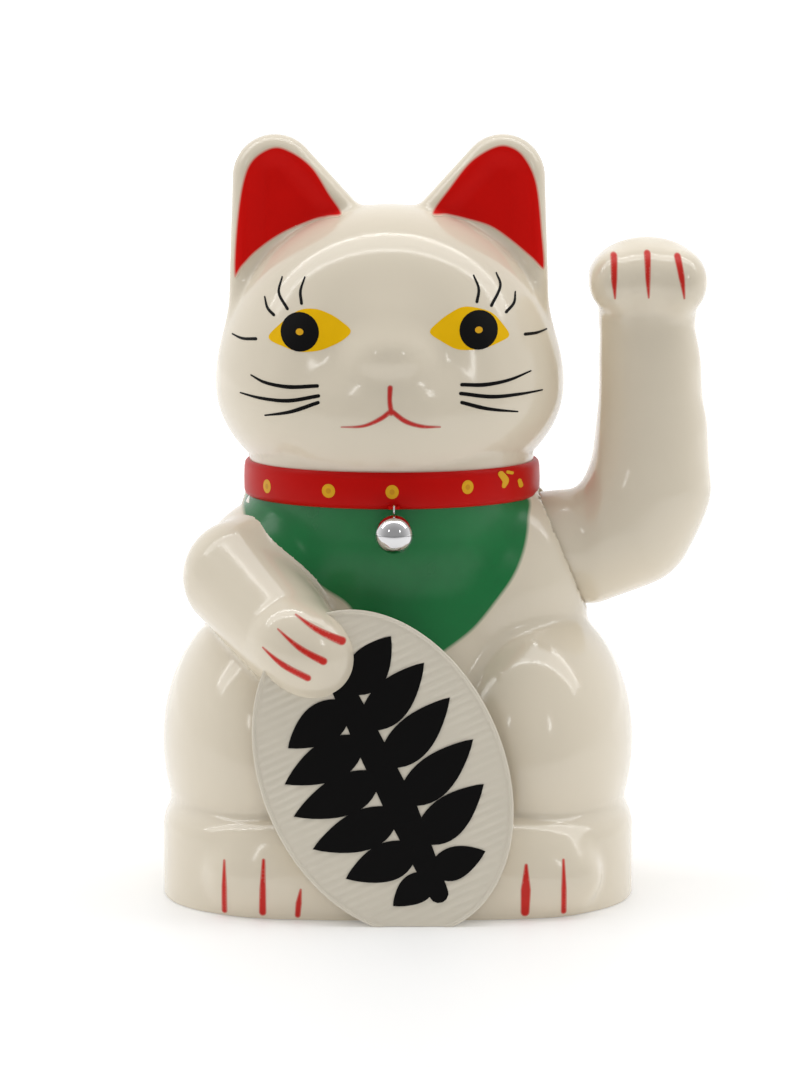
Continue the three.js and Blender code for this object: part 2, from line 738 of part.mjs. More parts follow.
function pendulum() {
  const x = LEVER_X;
  const z = PIVOT_Z;
  const bore = rod("x", SHAFT_R + 0.25, x - 20, x + 20, 0, z, 20);
  const hub = rod("x", 4.6, x - 4.5, x + 4.5, 0, z, 24);
  const bar = box(x - 1.5, x + 1.5, -2.5, 2.5, MAGNET_Z + 4, z);
  const cap = rod("z", 8.6, MAGNET_Z + 3 + GAP, MAGNET_Z + 5.4, x, 0, 28);
  put("pendulum_lever", cut(join(hub, bar, cap), bore), WHITE);
  put("drive_magnet", rod("z", 8, MAGNET_Z - 3, MAGNET_Z + 3, x, 0, 28), STEEL);
  const low = MAGNET_Z + 5.4 + GAP;
  // set back a little, which balances the forward-bent paw
  const back = 0.94 * S;
  const weight = box(x - 6, x + 6, back - 7, back + 7, low, low + 10);
  put("counterweight", cut(weight, box(x - 1.8, x + 1.8, -2.8, 2.8, 0, 90)), STEEL);
  const end = ARM_ROOT_X + ARM_WALL + 7.6;
  const shaft = rod("x", SHAFT_R, FRAME.near - 6, end, 0, z, 16);
  const groove = FRAME.near - 3.9;
  const neck = ring("x", SHAFT_R + 0.1, 0.45, groove, 0, z);
  put("pivot_shaft", cut(shaft, neck), STEEL);
  const disc = rod("x", 3.6, groove - 0.3, groove + 0.3, 0, z, 24);
  const mouth = box(groove - 1, groove + 1, -0.9, 0.9, z - 5, z);
  const middle = rod("x", SHAFT_R + 0.25, groove - 1, groove + 1, 0, z, 20);
  put("shaft_clip", cut(disc, mouth, middle), STEEL);
}

// ======================================================================================
// waving arm
// ======================================================================================
function armShells() {
  const shift = (g) => solid(g.scale(S, S, S).translate(ARM_ROOT_X - 36.2 * S, 0, 0));
  const reach = 32;
  const round = shift(cast(armField, [64.5, -1, 128], reach, 18, 20, 50));
  const inside = (p) => armField(p) + ARM_WALL / S;
  const hollow = shift(cast(inside, [64.5, -1, 128], reach - 2, 12, 14, 50));
  const to = ARM_ROOT_X + 20 * S;
  const root = rod("x", ARM_ROOT_R * S, ARM_ROOT_X, to, 0, PIVOT_Z, 28);
  const rootIn = rod("x", ARM_ROOT_R * S - ARM_WALL, ARM_ROOT_X + ARM_WALL, to, 0, PIVOT_Z, 20);
  const keep = box(ARM_ROOT_X, 200, -60, 60, 0, 260);
  const keepIn = box(ARM_ROOT_X + ARM_WALL, 200, -60, 60, 0, 260);
  // inside its socket the arm is exactly round about the shaft
  const free = box(46 * S + ARM_ROOT_X - 36.2 * S, 200, -60, 60, 0, 260);
  const turningPart = rod("x", (ARM_ROOT_R + 0.3) * S, 0, 90, 0, PIVOT_Z, 28);
  const outside = join(root, round.intersect(join(free, turningPart)));
  let shell = cut(outside.intersect(keep), join(rootIn, hollow).intersect(keepIn));
  shell = cut(shell, rod("x", SHAFT_R + GAP, 0, ARM_ROOT_X + 4, 0, PIVOT_Z, 20));
  put("arm_front_shell", shell.intersect(box(0, 200, -60, -SEAM, 0, 260)), CREAM);
  put("arm_rear_shell", shell.intersect(box(0, 200, SEAM, 60, 0, 260)), CREAM);
  const from = ARM_ROOT_X + ARM_WALL + GAP;
  const block = rod("x", ARM_ROOT_R * S - ARM_WALL - GAP, from, from + 7, 0, PIVOT_Z, 32);
  put("arm_hub", cut(block, rod("x", SHAFT_R + 0.25, 0, from + 9, 0, PIVOT_Z, 20)), WHITE);
}

// ======================================================================================
// bell under the collar
// ======================================================================================
// the bell's loop hangs on a small ring, and the ring on the bar of a wire staple
const BELL = { x: -1 * S * SX, y: -42.3 * S, z: 98 * S };
const BELL_TOP = BELL.z + BELL_R;
const BELL_LOOP = { r: 1.1, wire: 0.28 };
const BELL_LINK = { r: 0.99, wire: 0.25, z: BELL_TOP + 1.46 };
const STAPLE = { half: 1.1, wire: 0.3, z: BELL_TOP + 1.8, length: 8 };
function stapleHoles() {
  const { half, wire, z } = STAPLE;
  return [-half, half].map((dx) => rod("y", wire + GAP, BELL.y, -33 * S, BELL.x + dx, z, 10));
}

function bell() {
  const { x, y, z } = BELL;
  const { half, wire, length } = STAPLE;
  const bar = rod("x", wire, x - half - wire, x + half + wire, y, STAPLE.z, 8);
  const legs = [-half, half].map((dx) => rod("y", wire, y - 0.2, y + length, x + dx, STAPLE.z, 8));
  put("bell_staple", join(bar, ...legs), NICKEL);
  put("bell_ring", ring("x", BELL_LINK.r, BELL_LINK.wire, x, y, BELL_LINK.z), NICKEL);
  const loop = ring("y", BELL_LOOP.r, BELL_LOOP.wire, x, y, BELL_TOP);
  const keep = box(x - 9, x + 9, y - 9, y + 9, BELL_TOP - 0.35, BELL_TOP + 15);
  put("bell_upper_shell", join(halfShell(1), loop.intersect(keep)), NICKEL);
  const slot = join(
    box(x - 3.2, x + 3.2, y - 0.5, y + 0.5, z - 9, z - 2),
    rod("z", 0.9, z - 9, z - 2, x - 3.2, y, 12),
    rod("z", 0.9, z - 9, z - 2, x + 3.2, y, 12),
  );
  put("bell_lower_shell", cut(halfShell(-1), slot), NICKEL);
  put("bell_pellet", solid(new THREE.SphereGeometry(1.3, 10, 6).translate(x, y, z - 2.8)), STEEL);
}

function halfShell(side) {
  const { x, y, z } = BELL;
  const outer = new THREE.SphereGeometry(BELL_R, 16, 10).rotateX(Math.PI / 2);
  const inner = new THREE.SphereGeometry(BELL_R - 0.6, 12, 8).rotateX(Math.PI / 2);
  const shell = cut(solid(outer), solid(inner));
  const half = side > 0 ? box(-9, 9, -9, 9, 0.15, 9) : box(-9, 9, -9, 9, -9, -0.15);
  return shell.intersect(half).translate(x, y, z);
}

// ======================================================================================
// leads
// ======================================================================================
const LEAD_R = 0.6;
function leads() {
  const end = BAY.length / 2;
  const z = BAY.top - 2;
  const y = BAY_Y + BAY.width / 2;
  const top = BOARD_Z + BOARD_T;
  const bx = BOARD.x;
  const fromPlus = [
    [end - 2.0, BAY_Y + 6, z],
    [end - 1.5, y + 2.2, z],
    [FRAME.far + FRAME.t + 4.8, -14, z - 3],
    [bx + 11, -11, top + 4],
    [bx + 10.5, -9.5, top + 0.5],
  ];
  put("lead_red", wire(fromPlus, LEAD_R, 14, 6), RED);
  const fromMinus = [
    [1.7 - end, BAY_Y + 6, z],
    [1.8 - end, y + 3, z],
    [6 - end, y + 14, z - 4],
    [SWITCH.x - 9, 10, 10],
    [SWITCH.x - 4, SWITCH.y - 2, PLATE_T + 8],
    [SWITCH.x - 3, SWITCH.y, PLATE_T + 6.4],
  ];
  put("lead_black", wire(fromMinus, LEAD_R, 18, 6), BLACK);
  const switched = [
    [SWITCH.x + 3, SWITCH.y, PLATE_T + 6.4],
    [SWITCH.x + 4, SWITCH.y - 1, PLATE_T + 10],
    [SWITCH.x + 16, 14, 17],
    [bx - 17, 3, top + 3],
    [bx - 16.5, 2, top + 0.5],
  ];
  put("lead_switch", wire(switched, LEAD_R, 16, 6), WHITE);
}

bodyShells();
coin();
basePlate();
baseScrews();
battery();
slideSwitch();
board();
pivotFrame();
pendulum();
armShells();
bell();
leads();

export default cat;
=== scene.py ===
import itertools
import math

import bpy
import bmesh
import numpy as np
from mathutils import Matrix, Vector, geometry


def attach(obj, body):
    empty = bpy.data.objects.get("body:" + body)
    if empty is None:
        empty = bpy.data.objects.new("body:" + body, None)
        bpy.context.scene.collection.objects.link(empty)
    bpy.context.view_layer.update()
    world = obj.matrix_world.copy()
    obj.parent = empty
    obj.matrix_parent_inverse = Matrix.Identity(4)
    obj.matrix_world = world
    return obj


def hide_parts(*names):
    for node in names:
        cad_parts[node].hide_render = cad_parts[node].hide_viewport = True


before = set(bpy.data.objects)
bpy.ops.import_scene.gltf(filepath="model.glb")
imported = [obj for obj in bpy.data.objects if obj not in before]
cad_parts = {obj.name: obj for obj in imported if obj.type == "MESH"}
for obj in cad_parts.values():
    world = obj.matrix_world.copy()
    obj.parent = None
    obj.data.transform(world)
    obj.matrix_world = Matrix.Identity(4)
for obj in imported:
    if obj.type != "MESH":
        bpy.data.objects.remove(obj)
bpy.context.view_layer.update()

# A waving cat of glossy cream plastic with sprayed and pad-printed details.
# Lengths are millimetres in the frame of the CAD model until a mesh is made.
MM = 0.001
WALL = 2.0
ARM_WALL = 1.8
SEAM = 0.01
SOCKET_R = 15.6
SOCKET_FLOOR = 33.5
SHAFT_HOLE_R = 1.9
NET_STEP = 1.15
ARM_STEP = 1.0

# ---------------------------------------------------------------- sculpt
# The figure's skin as signed distances, in millimetres, in the frame of the CAD model.
HEAD_X = -2.4
SHAFT_Z = 90.0
EAR_TIP = np.array([30.1, 188.2])
EAR_OUTER = np.array([31.6, 140.0])
EAR_INNER = np.array([-14.0, 140.0])
EAR_ROUND = 11.2
COIN_PLACE = np.array([-3.9, -52.6, 38.3])
COIN_TILT = math.radians(-24.3)
COIN_LEAN = math.radians(10.0)
COIN_HALF = (31.0, 43.2)
COIN_THICK = 4.6


def smooth_min(a, b, k):
    h = np.clip(k - np.abs(a - b), 0.0, None) / k
    return np.minimum(a, b) - h * h * k * 0.25


def smooth_max(a, b, k):
    return -smooth_min(-a, -b, k)


def smooth_step(t):
    t = np.clip(t, 0.0, 1.0)
    return t * t * (3.0 - 2.0 * t)


def ellipsoid(p, centre, radii, lean=0.0, pitch=0.0):
    """An ellipsoid leaned about Y and then pitched about X, in degrees."""
    q = p - np.array(centre)
    t, u = math.radians(lean), math.radians(pitch)
    x = math.cos(t) * q[..., 0] - math.sin(t) * q[..., 2]
    z = math.sin(t) * q[..., 0] + math.cos(t) * q[..., 2]
    y = math.cos(u) * q[..., 1] + math.sin(u) * z
    z = -math.sin(u) * q[..., 1] + math.cos(u) * z
    rx, ry, rz = radii
    k0 = np.sqrt((x / rx) ** 2 + (y / ry) ** 2 + (z / rz) ** 2)
    k1 = np.sqrt((x / rx**2) ** 2 + (y / ry**2) ** 2 + (z / rz**2) ** 2)
    return k0 * (k0 - 1.0) / np.maximum(k1, 1e-9)


def round_cone(p, a, b, ra, rb):
    a, b = np.array(a, float), np.array(b, float)
    span = b - a
    t = np.clip((p - a) @ span / (span @ span), 0.0, 1.0)
    return np.linalg.norm(p - a - t[..., None] * span, axis=-1) - (ra + (rb - ra) * t)


def rounded_pair(a, b, edge):
    """Where two distances meet, with their common edge rounded."""
    a, b = a + edge, b + edge
    outside = np.hypot(np.maximum(a, 0.0), np.maximum(b, 0.0))
    return np.minimum(np.maximum(a, b), 0.0) + outside - edge


def triangle_2d(x, z, corners):
    """Signed distance to a triangle whose corners run clockwise in x and z."""
    nearest = np.full(x.shape, 1e9)
    inside = np.full(x.shape, 1e9)
    for a, b in zip(corners, corners[1:] + corners[:1]):
        ex, ez = b - a
        t = np.clip(((x - a[0]) * ex + (z - a[1]) * ez) / (ex * ex + ez * ez), 0.0, 1.0)
        nearest = np.minimum(nearest, np.hypot(x - a[0] - ex * t, z - a[1] - ez * t))
        inside = np.minimum(inside, (ez * (x - a[0]) - ex * (z - a[1])) / math.hypot(ex, ez))
    return np.where(inside > 0.0, -nearest, nearest)


def ear_field(p, side):
    """A tapered three-cornered slab, hollowed a little at the front."""
    x, y, z = (p[..., 0] - HEAD_X) * side, p[..., 1] - 2.0, p[..., 2]
    outline = triangle_2d(x, z, [EAR_TIP, EAR_OUTER, EAR_INNER]) - EAR_ROUND
    half = 5.2 + 3.6 * np.clip((196.0 - z) / 36.0, 0.0, 1.0)
    dish = 2.2 * smooth_step((-outline - 2.8) / 7.0)
    front = -y - (half - dish)
    back = y - half
    return rounded_pair(outline, np.maximum(front, back), 4.2) * 0.95


def head_field(p):
    cranium = ellipsoid(p, (HEAD_X, 1.0, 141.5), (43.6, 36.5, 39.6))
    jowl = ellipsoid(p, (HEAD_X + 0.4, 0.0, 131.5), (44.0, 37.0, 26.0))
    d = smooth_min(cranium, jowl, 12.0)
    d = smooth_max(d, -(p[..., 1] + 35.2), 6.0)
    cheeks = ellipsoid(p, (HEAD_X, -13.0, 129.5), (37.0, 25.5, 15.0))
    d = smooth_min(d, cheeks, 7.0)
    muzzle = ellipsoid(p, (HEAD_X, -29.0, 130.5), (17.0, 11.5, 12.0))
    d = smooth_min(d, muzzle, 7.0)
    bridge = ellipsoid(p, (HEAD_X, -26.5, 147.0), (9.0, 9.5, 8.0))
    d = smooth_min(d, bridge, 10.0)
    nose = ellipsoid(p, (HEAD_X, -33.0, 143.2), (8.8, 8.2, 5.6))
    d = smooth_min(d, nose, 6.0)
    chin = ellipsoid(p, (HEAD_X, -25.0, 119.0), (17.0, 10.0, 9.0))
    d = smooth_min(d, chin, 12.0)
    for side in (-1, 1):
        d = smooth_min(d, ear_field(p, side), 2.0)
    return d


def trunk_field(p):
    """Chest, shoulders and neck."""
    d = round_cone(p, (0, 4, 46), (-2, 2, 88), 43.5, 36.0)
    d = smooth_min(d, ellipsoid(p, (-29.5, -5, 83), (24.5, 27, 22), -18), 7.0)
    d = smooth_min(d, ellipsoid(p, (24, 1, 80), (27.5, 28, 30), 8), 8.0)
    return smooth_min(d, round_cone(p, (-1.5, 1, 95), (-1.7, 1, 113), 37.0, 37.9), 3.0)


def feet_field(p):
    """One drum with a superelliptic outline and a rounded top edge."""
    edge, top, rx, ry = 8.0, 25.5, 60.8, 51.3
    u = np.abs(p[..., 0] / (rx - edge)) ** 3
    v = np.abs((p[..., 1] + 3.3) / (ry - edge)) ** 3
    side = (np.cbrt(u + v) - 1.0) * (ry - edge)
    cap = p[..., 2] - (top - edge)
    outside = np.hypot(np.maximum(side, 0.0), np.maximum(cap, 0.0))
    return np.minimum(np.maximum(side, cap), 0.0) + outside - edge


def seat_field(p):
    """The trunk with haunches, feet and tail, without the holding arm."""
    d = trunk_field(p)
    for side in (-1, 1):
        haunch = ellipsoid(p, (side * 33.6, -2, 37), (29.2, 45.5, 39.5), side * 4)
        d = smooth_min(d, haunch, 3.0)
    d = smooth_min(d, feet_field(p), 2.0)
    for x in (-31.5, 35.0):
        toes = ellipsoid(p, (x, -44.5, 9.5), (17.0, 10.0, 11.0))
        d = smooth_min(d, toes, 4.0)
    return smooth_min(d, ellipsoid(p, (12, 43, 17), (13, 7.5, 8), 20), 4.0)


def holding_arm_field(p):
    arm = round_cone(p, (-41.5, -18, 84), (-28.0, -38.5, 70.8), 15.0, 13.0)
    paw = ellipsoid(p, (-23.5, -46.0, 68.0), (13.9, 10.5, 11.8), 38)
    return smooth_min(arm, paw, 3.0)


def figure_field(p):
    d = smooth_min(seat_field(p), holding_arm_field(p), 2.2)
    return np.minimum(d, head_field(p))


ARM_CHAIN = [
    ((36, 0, 90), 14.2),
    ((50, 0, 90.3), 14.4),
    ((61.5, 0, 96.5), 16.2),
    ((66.2, 0, 106.5), 15.9),
    ((67.2, 0, 121), 13.8),
    ((67, 0, 137), 12.2),
    ((65.8, 0, 150), 12.9),
]


def arm_chain_field(p):
    d = None
    for (a, ra), (b, rb) in zip(ARM_CHAIN, ARM_CHAIN[1:]):
        part = round_cone(p, a, b, ra, rb)
        d = part if d is None else smooth_min(d, part, 6.0)
    round_root = smooth_max(d, np.hypot(p[..., 1], p[..., 2] - SHAFT_Z) - 15.0, 1.0)
    share = smooth_step((p[..., 0] - 44.0) / 10.0)
    d = share * d + (1.0 - share) * round_root
    d = smooth_min(d, ellipsoid(p, (65.9, -0.5, 161.4), (15.6, 12.5, 11.0)), 6.0)
    for x, z in ((57.3, 160.8), (65.9, 161.6), (74.4, 160.8)):
        d = smooth_min(d, ellipsoid(p, (x, -8.5, z), (6.9, 8.2, 8.2)), 3.5)
    return d


def raised_arm_field(p):
    return smooth_max(arm_chain_field(p), 36.2 - p[..., 0], 0.8)


# ---------------------------------------------------------------- meshing
def slope(field, p, reach=0.05):
    """Gradient of a field at points, by central differences."""
    parts = []
    for axis in np.eye(3) * reach:
        parts.append((field(p + axis) - field(p - axis)) / (2.0 * reach))
    return np.stack(parts, -1)


def surface_net(values, low, step):
    """Points and four-sided faces of the surface where a grid of values is zero."""
    cells = np.array(values.shape) - 1
    total = int(np.prod(cells))
    weight = np.zeros(total)
    place = np.zeros((total, 3))
    rings = []
    for axis in range(3):
        u, v = (axis + 1) % 3, (axis + 2) % 3
        near = np.take(values, range(cells[axis]), axis)
        far = np.take(values, range(1, cells[axis] + 1), axis)
        edge = np.argwhere((near < 0) != (far < 0))
        edge = edge[((edge[:, [u, v]] > 0) & (edge[:, [u, v]] < cells[[u, v]])).all(1)]
        a, b = near[tuple(edge.T)], far[tuple(edge.T)]
        point = edge.astype(float)
        point[:, axis] += a / (a - b)
        ring = []
        for du, dv in ((0, 0), (1, 0), (1, 1), (0, 1)):
            cell = edge.copy()
            cell[:, u] -= du
            cell[:, v] -= dv
            flat = np.ravel_multi_index(cell.T, cells)
            ring.append(flat)
            weight += np.bincount(flat, minlength=total)
            for k in range(3):
                place[:, k] += np.bincount(flat, point[:, k], total)
        ring = np.stack(ring, 1)
        ring[a > 0] = ring[a > 0][:, ::-1]
        rings.append(ring)
    used = np.flatnonzero(weight)
    number = np.full(total, -1)
    number[used] = np.arange(len(used))
    points = place[used] / weight[used, None] * step + low
    return points, number[np.concatenate(rings)]


def settle(points, field, step, rounds=3):
    """Points moved onto the zero surface of a field, each by less than a cell."""
    start = points.copy()
    for _ in range(rounds):
        g = slope(field, points)
        d = np.clip(field(points), -0.5 * step, 0.5 * step)
        points = points - g * (d / np.maximum((g * g).sum(-1), 0.25))[:, None]
    moved = points - start
    length = np.linalg.norm(moved, axis=1)
    return start + moved * np.minimum(1.0, 0.8 * step / np.maximum(length, 1e-9))[:, None]


def hollow_half(outer, inner, low, high, step, side):
    """Half of a hollow casting, in front of the seam (side -1) or behind it (side 1)."""
    low, high = np.array(low, float), np.array(high, float)
    seam = side * SEAM
    if side < 0:
        high[1] = seam + 1.5 * step
        low[1] = high[1] - step * math.ceil((high[1] - low[1]) / step)
    else:
        low[1] = seam - 1.5 * step
    low[2] = max(low[2], -1.5 * step)
    axes = [np.arange(a, b + 0.5 * step, step) for a, b in zip(low, high)]
    grid = np.stack(np.meshgrid(*axes, indexing="ij"), -1)

    def casting(p):
        d = outer(p)
        return np.maximum(d, -inner(p, d))

    def whole(p):
        cut = np.maximum(side * (seam - p[..., 1]), -p[..., 2])
        return np.maximum(casting(p), cut)

    points, faces = surface_net(whole(grid), low, step)
    cell = low + (np.floor((points - low) / step) + 0.5) * step
    on_seam = np.abs(cell[:, 1] - seam) < 0.25 * step
    on_floor = np.abs(cell[:, 2]) < 0.25 * step
    points[on_seam, 1] = cell[on_seam, 1] = seam
    points[on_floor, 2] = cell[on_floor, 2] = 0.0
    flat = on_seam | on_floor
    free = ~flat
    points[free] = settle(points[free], casting, step)
    signs = np.zeros(len(points))
    for a, b, c in itertools.product((-0.5, 0.5), (-0.5, 0.5), (0.0, 0.5)):
        across, up = np.where(on_seam, side * c, b), np.where(on_seam, b, c)
        signs += np.sign(casting(cell + step * np.stack([np.full(len(cell), a), across, up], 1)))
    rim = flat & (np.abs(signs) < 8)
    q = points[rim]
    for _ in range(3):
        g = slope(casting, q)
        g[on_seam[rim], 1] = 0.0
        g[on_floor[rim], 2] = 0.0
        d = np.clip(casting(q), -step, step)
        q = q - g * (d / np.maximum((g * g).sum(-1), 0.25))[:, None]
    points[rim] = q
    return points, faces


def piece(name, points, faces, material, body, sharp=40.0):
    """A closed mesh in metres that rides a body of the frame."""
    mesh = bpy.data.meshes.new(name)
    mesh.from_pydata((np.asarray(points) * MM).tolist(), [], [list(f) for f in faces])
    mesh.validate()
    for polygon in mesh.polygons:
        polygon.use_smooth = True
    if sharp:
        mesh.set_sharp_from_angle(angle=math.radians(sharp))
    mesh.materials.append(material)
    made = bpy.data.objects.new(name, mesh)
    bpy.context.scene.collection.objects.link(made)
    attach(made, body)
    return made


# ---------------------------------------------------------------- printed and sprayed films
FILM_SUNK = 0.15


def closed_curve(points, steps=6):
    """A smooth closed curve through the points."""
    p = np.array(points, float)
    t = np.arange(steps)[:, None] / steps
    out = []
    for i in range(len(p)):
        a, b, c, d = p[i - 1], p[i], p[(i + 1) % len(p)], p[(i + 2) % len(p)]
        out.append(b + 0.5 * t * (c - a + t * (2 * a - 5 * b + 4 * c - d + t * (3 * b - a - 3 * c + d))))
    return np.concatenate(out)


def open_curve(points, steps=8):
    """A smooth open curve through the points."""
    p = np.array(points, float)
    p = np.concatenate([[2 * p[0] - p[1]], p, [2 * p[-1] - p[-2]]])
    t = np.linspace(0.0, 1.0, steps, endpoint=False)[:, None]
    out = []
    for a, b, c, d in zip(p, p[1:], p[2:], p[3:]):
        out.append(b + 0.5 * t * (c - a + t * (2 * a - 5 * b + 4 * c - d + t * (3 * b - a - 3 * c + d))))
    return np.concatenate(out + [p[-2:-1]])


def stroke(points, widths):
    """Outline of a brush stroke along the points, its width going through the widths."""
    line = open_curve(points)
    along = np.gradient(line, axis=0)
    along /= np.linalg.norm(along, axis=1)[:, None]
    across = np.stack([-along[:, 1], along[:, 0]], 1)
    where = np.linspace(0.0, 1.0, len(line))
    half = 0.5 * np.interp(where, np.linspace(0.0, 1.0, len(widths)), widths)
    turn = np.linspace(math.pi / 2, -math.pi / 2, 7)[1:-1, None]
    end = line[-1] + half[-1] * (np.cos(turn) * along[-1] + np.sin(turn) * across[-1])
    tip = line[0] - half[0] * (np.cos(turn) * along[0] + np.sin(turn) * across[0])
    left, right = line + across * half[:, None], line - across * half[:, None]
    return np.concatenate([left, end, right[::-1], tip])


def disc(centre, radius, stretch=1.0, sides=28):
    t = np.linspace(0.0, 2.0 * math.pi, sides, endpoint=False)
    ring = np.stack([np.cos(t) * radius, np.sin(t) * radius * stretch], 1)
    return ring + np.array(centre)


def edge_distance(points, starts, ends):
    """Distance from points to the nearest of some straight edges."""
    nearest = np.full(len(points), 1e9)
    for a, b in zip(starts, ends):
        span = b - a
        t = np.clip((points - a) @ span / max(span @ span, 1e-12), 0.0, 1.0)
        nearest = np.minimum(nearest, np.linalg.norm(points - a - t[:, None] * span, axis=1))
    return nearest


def border(faces):
    """The edges of a sheet of triangles that belong to one triangle only."""
    sides = np.concatenate([faces[:, [0, 1]], faces[:, [1, 2]], faces[:, [2, 0]]]).tolist()
    seen = {tuple(e) for e in sides}
    return [(a, b) for a, b in sides if (b, a) not in seen]


def inside(points, loop):
    """Which points lie inside an outline, by counting crossings."""
    x, y = points[:, 0:1], points[:, 1:2]
    a, b = loop, np.roll(loop, -1, axis=0)
    spans = (a[:, 1] > y) != (b[:, 1] > y)
    rise = np.where(b[:, 1] == a[:, 1], 1e-9, b[:, 1] - a[:, 1])
    cross = a[:, 0] + (y - a[:, 1]) / rise * (b[:, 0] - a[:, 0])
    return (spans & (x < cross)).sum(1) % 2 == 1


def inward(loop, depth):
    """The points of an outline moved into it."""
    along = np.roll(loop, -1, axis=0) - np.roll(loop, 1, axis=0)
    across = np.stack([-along[:, 1], along[:, 0]], 1)
    across /= np.maximum(np.linalg.norm(across, axis=1), 1e-9)[:, None]
    area = (loop[:, 0] * np.roll(loop[:, 1], -1) - loop[:, 1] * np.roll(loop[:, 0], -1)).sum()
    return loop + across * depth * np.sign(area)


def fill(loops, spacing, fade=0.0):
    """Triangles that fill the union of some outlines, with even points between."""
    points, edges = [], []
    for loop in loops:
        first = len(points)
        count = len(loop)
        points += [tuple(q) for q in loop]
        edges += [(first + i, first + (i + 1) % count) for i in range(count)]
    every, following = np.concatenate(loops), np.concatenate([np.roll(loop, -1, axis=0) for loop in loops])
    low, high = every.min(0), every.max(0)
    xs = np.arange(low[0] + 0.5 * spacing, high[0], spacing)
    ys = np.arange(low[1] + 0.5 * spacing, high[1], spacing)
    grid = np.stack(np.meshgrid(xs, ys), -1).reshape(-1, 2)
    if len(grid):
        within = np.zeros(len(grid), bool)
        for loop in loops:
            within |= inside(grid, loop)
        grid = grid[within]
        grid = grid[edge_distance(grid, every, following) > 0.4 * spacing + fade]
    points += [tuple(q) for q in grid]
    for depth in (0.5 * fade, fade) if fade else ():
        ring = np.concatenate([inward(loop, depth) for loop in loops])
        points += [tuple(q) for q in ring[edge_distance(ring, every, following) > 0.9 * depth]]
    made = geometry.delaunay_2d_cdt([Vector(q) for q in points], edges, [], 1, 1e-5)
    flat = np.array([tuple(q) for q in made[0]])
    faces = np.array([tuple(f) for f in made[2]])
    middle = flat[faces].mean(1)
    keep = np.zeros(len(faces), bool)
    for loop in loops:
        keep |= inside(middle, loop)
    faces = faces[keep]
    a, b, c = (flat[faces[:, i]] for i in range(3))
    turn = (b - a)[:, 0] * (c - a)[:, 1] - (b - a)[:, 1] * (c - a)[:, 0]
    faces[turn < 0] = faces[turn < 0][:, ::-1]
    used = np.unique(faces)
    number = np.full(len(flat), -1)
    number[used] = np.arange(len(used))
    return flat[used], number[faces]


def drop(flat, field, start=-80.0):
    """Points of the front of a figure that stand behind (x, z) pairs."""
    p = np.stack([flat[:, 0], np.full(len(flat), start), flat[:, 1]], -1)
    for _ in range(70):
        p[:, 1] += 0.8 * np.clip(field(p), -2.0, 30.0)
        p[:, 1] = np.minimum(p[:, 1], 40.0)
    return p


def film(name, loops, field, material, body="body", lift=0.06, spacing=0.9, fade=0.0):
    """A thin closed skin of paint that follows the front of a field inside some outlines."""
    loops = [np.asarray(loop, float) for loop in loops]
    flat, faces = fill(loops, spacing, fade)
    on = drop(flat, field)
    normal = slope(field, on)
    normal /= np.maximum(np.linalg.norm(normal, axis=1), 1e-6)[:, None]
    cover = None
    if fade:
        rim = border(faces)
        a, b = flat[[i for i, _ in rim]], flat[[j for _, j in rim]]
        cover = np.clip(edge_distance(flat, a, b) / fade, 0.0, 1.0)
    return skin(name, on + lift * normal, on - FILM_SUNK * normal, faces, material, body, cover)


def skin(name, top, under, faces, material, body, cover=None):
    """A closed sheet between two matching layers of points."""
    count = len(top)
    walls = [(b, a, a + count, b + count) for a, b in border(faces)]
    upper = faces.tolist()
    lower = [[c + count, b + count, a + count] for a, b, c in upper]
    made = piece(name, np.concatenate([top, under]), upper + lower + walls, material, body, 30.0)
    if cover is not None:
        layer = made.data.attributes.new("cover", "FLOAT", "POINT")
        layer.data.foreach_set("value", np.tile(cover, 2).astype(np.float32))
    return made


def turned(name, profile, centre, material, body, sides=72, start=0.0, end=360.0):
    """A profile of (radius, height) pairs turned about a vertical line, closed at both ends."""
    r, h = np.array(profile, float).T
    full = end - start >= 360.0
    t = np.radians(np.linspace(start, end, sides, endpoint=not full))
    ring = [np.stack([np.cos(a) * r, np.sin(a) * r, h], 1) + np.array(centre) for a in t]
    n = len(r)
    faces = []
    for i in range(len(t) - (0 if full else 1)):
        j = (i + 1) % len(t)
        faces += [[i * n + k, j * n + k, j * n + (k + 1) % n, i * n + (k + 1) % n] for k in range(n)]
    if not full:
        faces += [list(range(n)), [(len(t) - 1) * n + k for k in range(n - 1, -1, -1)]]
    return piece(name, np.concatenate(ring), faces, material, body)


# ---------------------------------------------------------------- materials
def linear(code):
    """Linear colour of an sRGB hex code."""
    parts = [int(code[i : i + 2], 16) / 255.0 for i in (0, 2, 4)]
    return [c / 12.92 if c <= 0.04045 else ((c + 0.055) / 1.055) ** 2.4 for c in parts] + [1.0]


def add(tree, kind, inputs=None, **settings):
    """A node with its settings, its sockets set to values or linked."""
    node = tree.nodes.new(kind)
    for key, value in settings.items():
        setattr(node, key, value)
    for key, value in (inputs or {}).items():
        if isinstance(value, bpy.types.NodeSocket):
            tree.links.new(value, node.inputs[key])
        else:
            node.inputs[key].default_value = value
    return node


